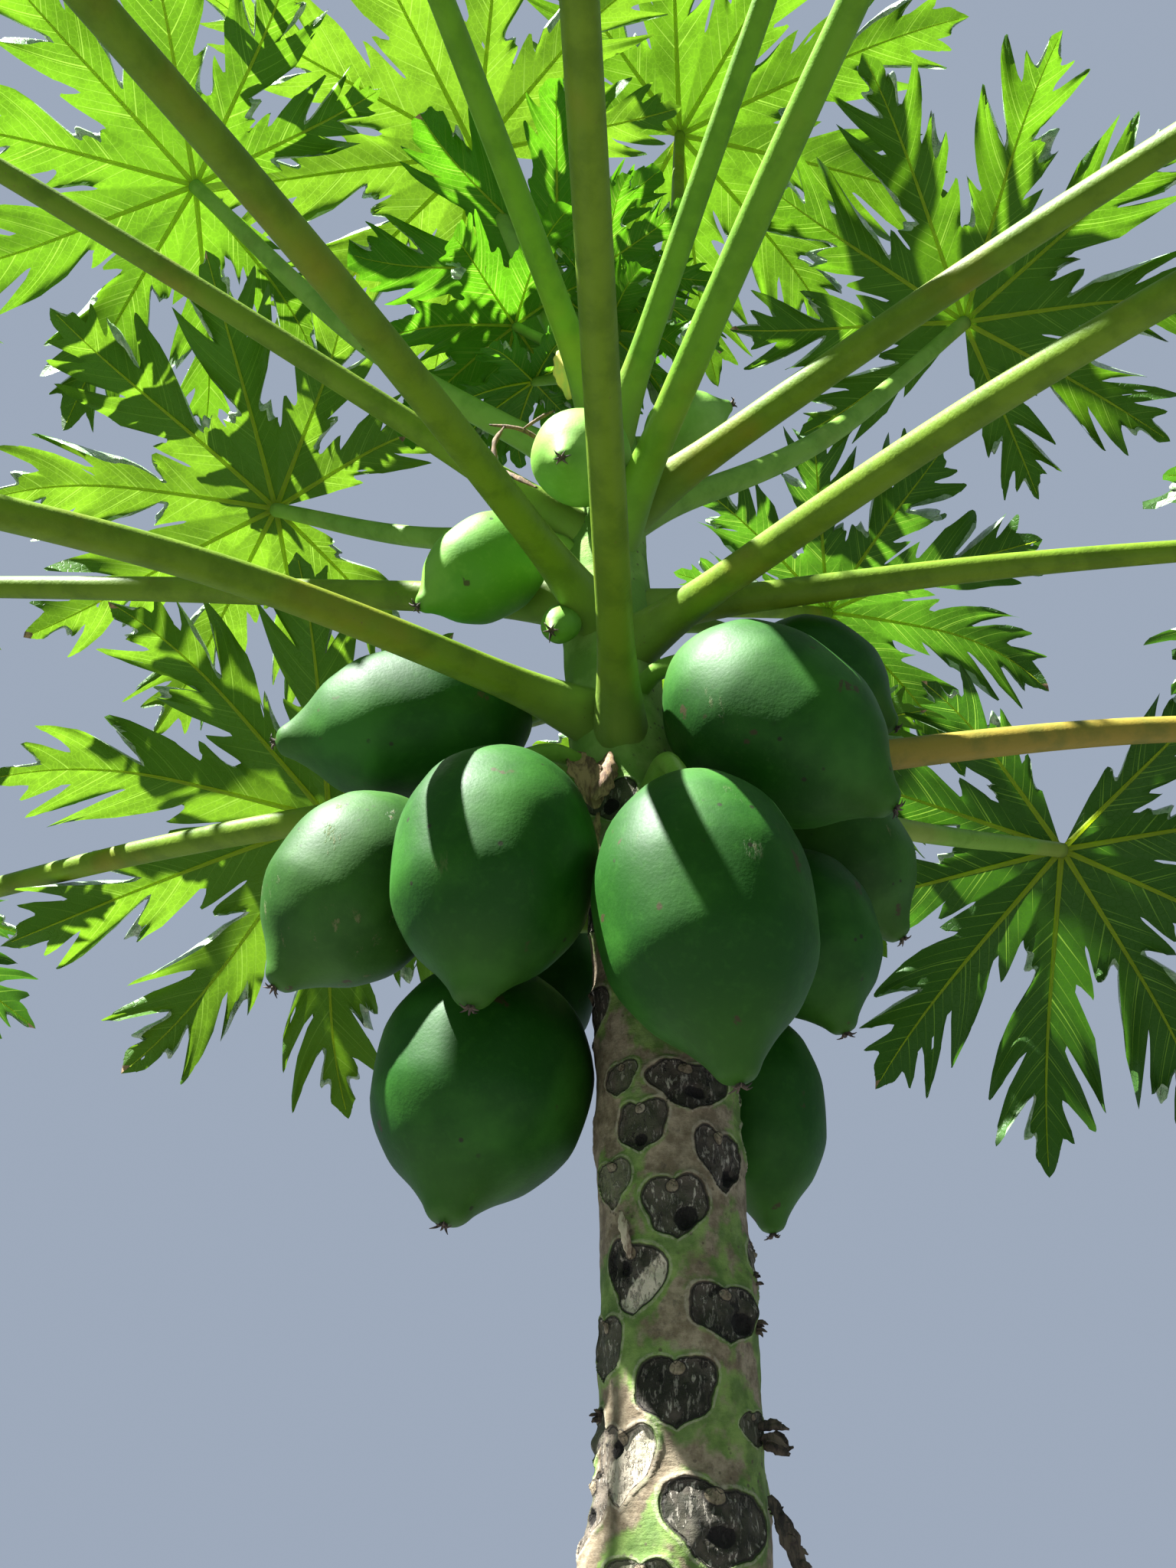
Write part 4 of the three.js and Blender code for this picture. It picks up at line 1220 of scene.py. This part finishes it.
# Each scrap's look, the points that it follows, its half width, its half thickness and how far its edges curl
SCRAPS = [
    ("bract", (-74, -44, 1938), (-66, -56, 1912), (-56, -57, 1880), 12, 1.2, 7),
    ("bract", (-44, -50, 1936), (-48, -62, 1908), (-58, -66, 1884), 9, 1.1, -6),
    ("strand", (-54, -47, 1882), (-58, -52, 1845), (-61, -50, 1800), 4, 1.6, 2),
    ("twig", (-92, -40, 2262), (-122, -52, 2276), (-152, -50, 2284), 2.2, 2, 0),
    ("twig", (-122, -52, 2276), (-104, -62, 2282), (-92, -60, 2292), 1.8, 1.6, 0),
    ("twig", (-138, -52, 2280), (-146, -60, 2250), (-141, -60, 2218), 2.4, 2, 0),
    ("twig", (-141, -60, 2222), (-126, -70, 2204), (-106, -72, 2190), 2.8, 1.8, 1),
    ("stub", (-34, -47, 1541), (-37.5, -49, 1557), (-40, -45, 1573), 3.4, 1.4, 1),
    ("char", (54, -20, 1398), (64, -23, 1374), (74, -25, 1345), 6, 1.6, 2),
    ("pale_bract", (-80, -24, 2340), (-88, -28, 2376), (-83, -24, 2408), 8, 2.2, 3),
]
# Where dry flakes stick out between two points of the bark: how many, and how far
TORN = [
    ((50, -28, 1442), (55, -20, 1426), 9, 19),
    ((56, -20, 1394), (74, -25, 1348), 16, 10),
    ((-54, -14, 1450), (-55, -10, 1444), 4, 8),
    ((52, -22, 1537), (54, -16, 1530), 4, 6),
    ((50, -28, 1508), (53, -18, 1494), 6, 8),
]


def scrap_shape(points, wide, thick, curl):
    """A flat dried scrap along a line, its edges curled to one side and both ends drawn in."""

    def shape(share, turn):
        place, along = catmull(points, share)
        side = unit(np.cross(along, (0.15, -1, 0.1)))
        over = np.cross(side, along)
        girth = np.sin(pi * np.clip(share * 0.93 + 0.035, 0, 1)) ** 0.6
        ragged = 1 + 0.25 * np.sin(share * 23 + wide) * np.sin(turn * 2 + share * 9)
        reach = wide * girth * ragged * np.cos(turn)
        lift = thick * girth * np.sin(turn) + curl * np.cos(turn) ** 2 * girth
        return place + side * reach[:, None] + over * lift[:, None], {}

    return shape


def add_flakes(mesh, first, last, count, reach, seed):
    """Dry flakes with their feet in the bark, bent and pointed."""
    rng = np.random.default_rng(seed)
    first, last = np.array(first, float), np.array(last, float)
    for _ in range(count):
        foot = first + (last - first) * rng.random()
        out = unit(foot * (1, 1, 0))
        away = unit(out + rng.normal(0, 0.35, 3))
        length = reach * rng.uniform(0.35, 1)
        bend = rng.normal(0, 0.15 * length, 3)
        tip = foot + away * length - (0, 0, 0.2 * length)
        line = [foot - out * 5, foot + away * length * 0.5 + bend, tip]
        wide = 0.7 + reach * rng.uniform(0.06, 0.2)
        add_wrapped(mesh, 10, 8, scrap_shape(line, wide, 0.8, wide * rng.uniform(-0.9, 0.9)))


def scraps():
    """Husks, twigs and torn stubs that hang where leaves and flowers were."""
    looks = {"bract": husk, "strand": husk, "twig": twig, "stub": torn_wood, "char": char}
    looks["pale_bract"] = fresh_bract
    for kind, look in looks.items():
        mesh = bmesh.new()
        for row, *points, wide, thick, curl in SCRAPS:
            if row == kind:
                add_wrapped(mesh, 22, 14, scrap_shape(points, wide, thick, curl))
        if kind == "char":
            for number, (first, last, count, reach) in enumerate(TORN):
                add_flakes(mesh, first, last, count, reach, SEED + number)
        closed_piece(f"dried_{kind}", mesh, look)


# Stage, light and camera

FLOOR_HALF = 3.5
FLOOR_COLOUR = (0.095, 0.095, 0.092)
STUDIO_COLOUR = (0.68, 0.8, 1, 1)
STUDIO_STRENGTH = 0.5
KEY_STRENGTH = 29
KEY_WIDTH = 0.8
KEY_FROM = (-0.55, -0.21, 1)
# The view fitted to the photo: its eye, its tilt over level, and its focal length and height in pixels
EYE = (-0.062, -1.1, 1.3)
TILT = 30
FOCAL = 2010
PIXELS_HIGH = 2048
SENSOR_HIGH = 36


def stage():
    mesh = bmesh.new()
    bmesh.ops.create_grid(mesh, x_segments=1, y_segments=1, size=FLOOR_HALF)
    data = bpy.data.meshes.new("floor")
    mesh.to_mesh(data)
    mesh.free()
    data.materials.append(Look("pale_floor").set(Base_Color=FLOOR_COLOUR, Roughness=0.9))
    linked("floor", data)
    world = bpy.data.worlds.new("pale_studio")
    world.use_nodes = True
    world.node_tree.nodes["Background"].inputs["Color"].default_value = STUDIO_COLOUR
    world.node_tree.nodes["Background"].inputs["Strength"].default_value = STUDIO_STRENGTH
    bpy.context.scene.world = world
    bpy.context.scene.view_settings.view_transform = "Standard"


def key_light():
    lamp = bpy.data.lights.new("key", "SUN")
    lamp.energy = KEY_STRENGTH
    lamp.angle = radians(KEY_WIDTH)
    linked("key", lamp).rotation_euler = Vector(KEY_FROM).to_track_quat("Z", "Y").to_euler()


def camera():
    lens = bpy.data.cameras.new("camera")
    lens.sensor_fit = "VERTICAL"
    lens.sensor_height = SENSOR_HIGH
    lens.lens = SENSOR_HIGH * FOCAL / PIXELS_HIGH
    lens.clip_end = 100
    made = linked("camera", lens)
    made.location = EYE
    made.rotation_euler = (radians(90 + TILT), 0, 0)
    bpy.context.scene.camera = made


stage()
key_light()
camera()
trunk()
petioles()
fruits()
leaves()
young_crown()
scraps()
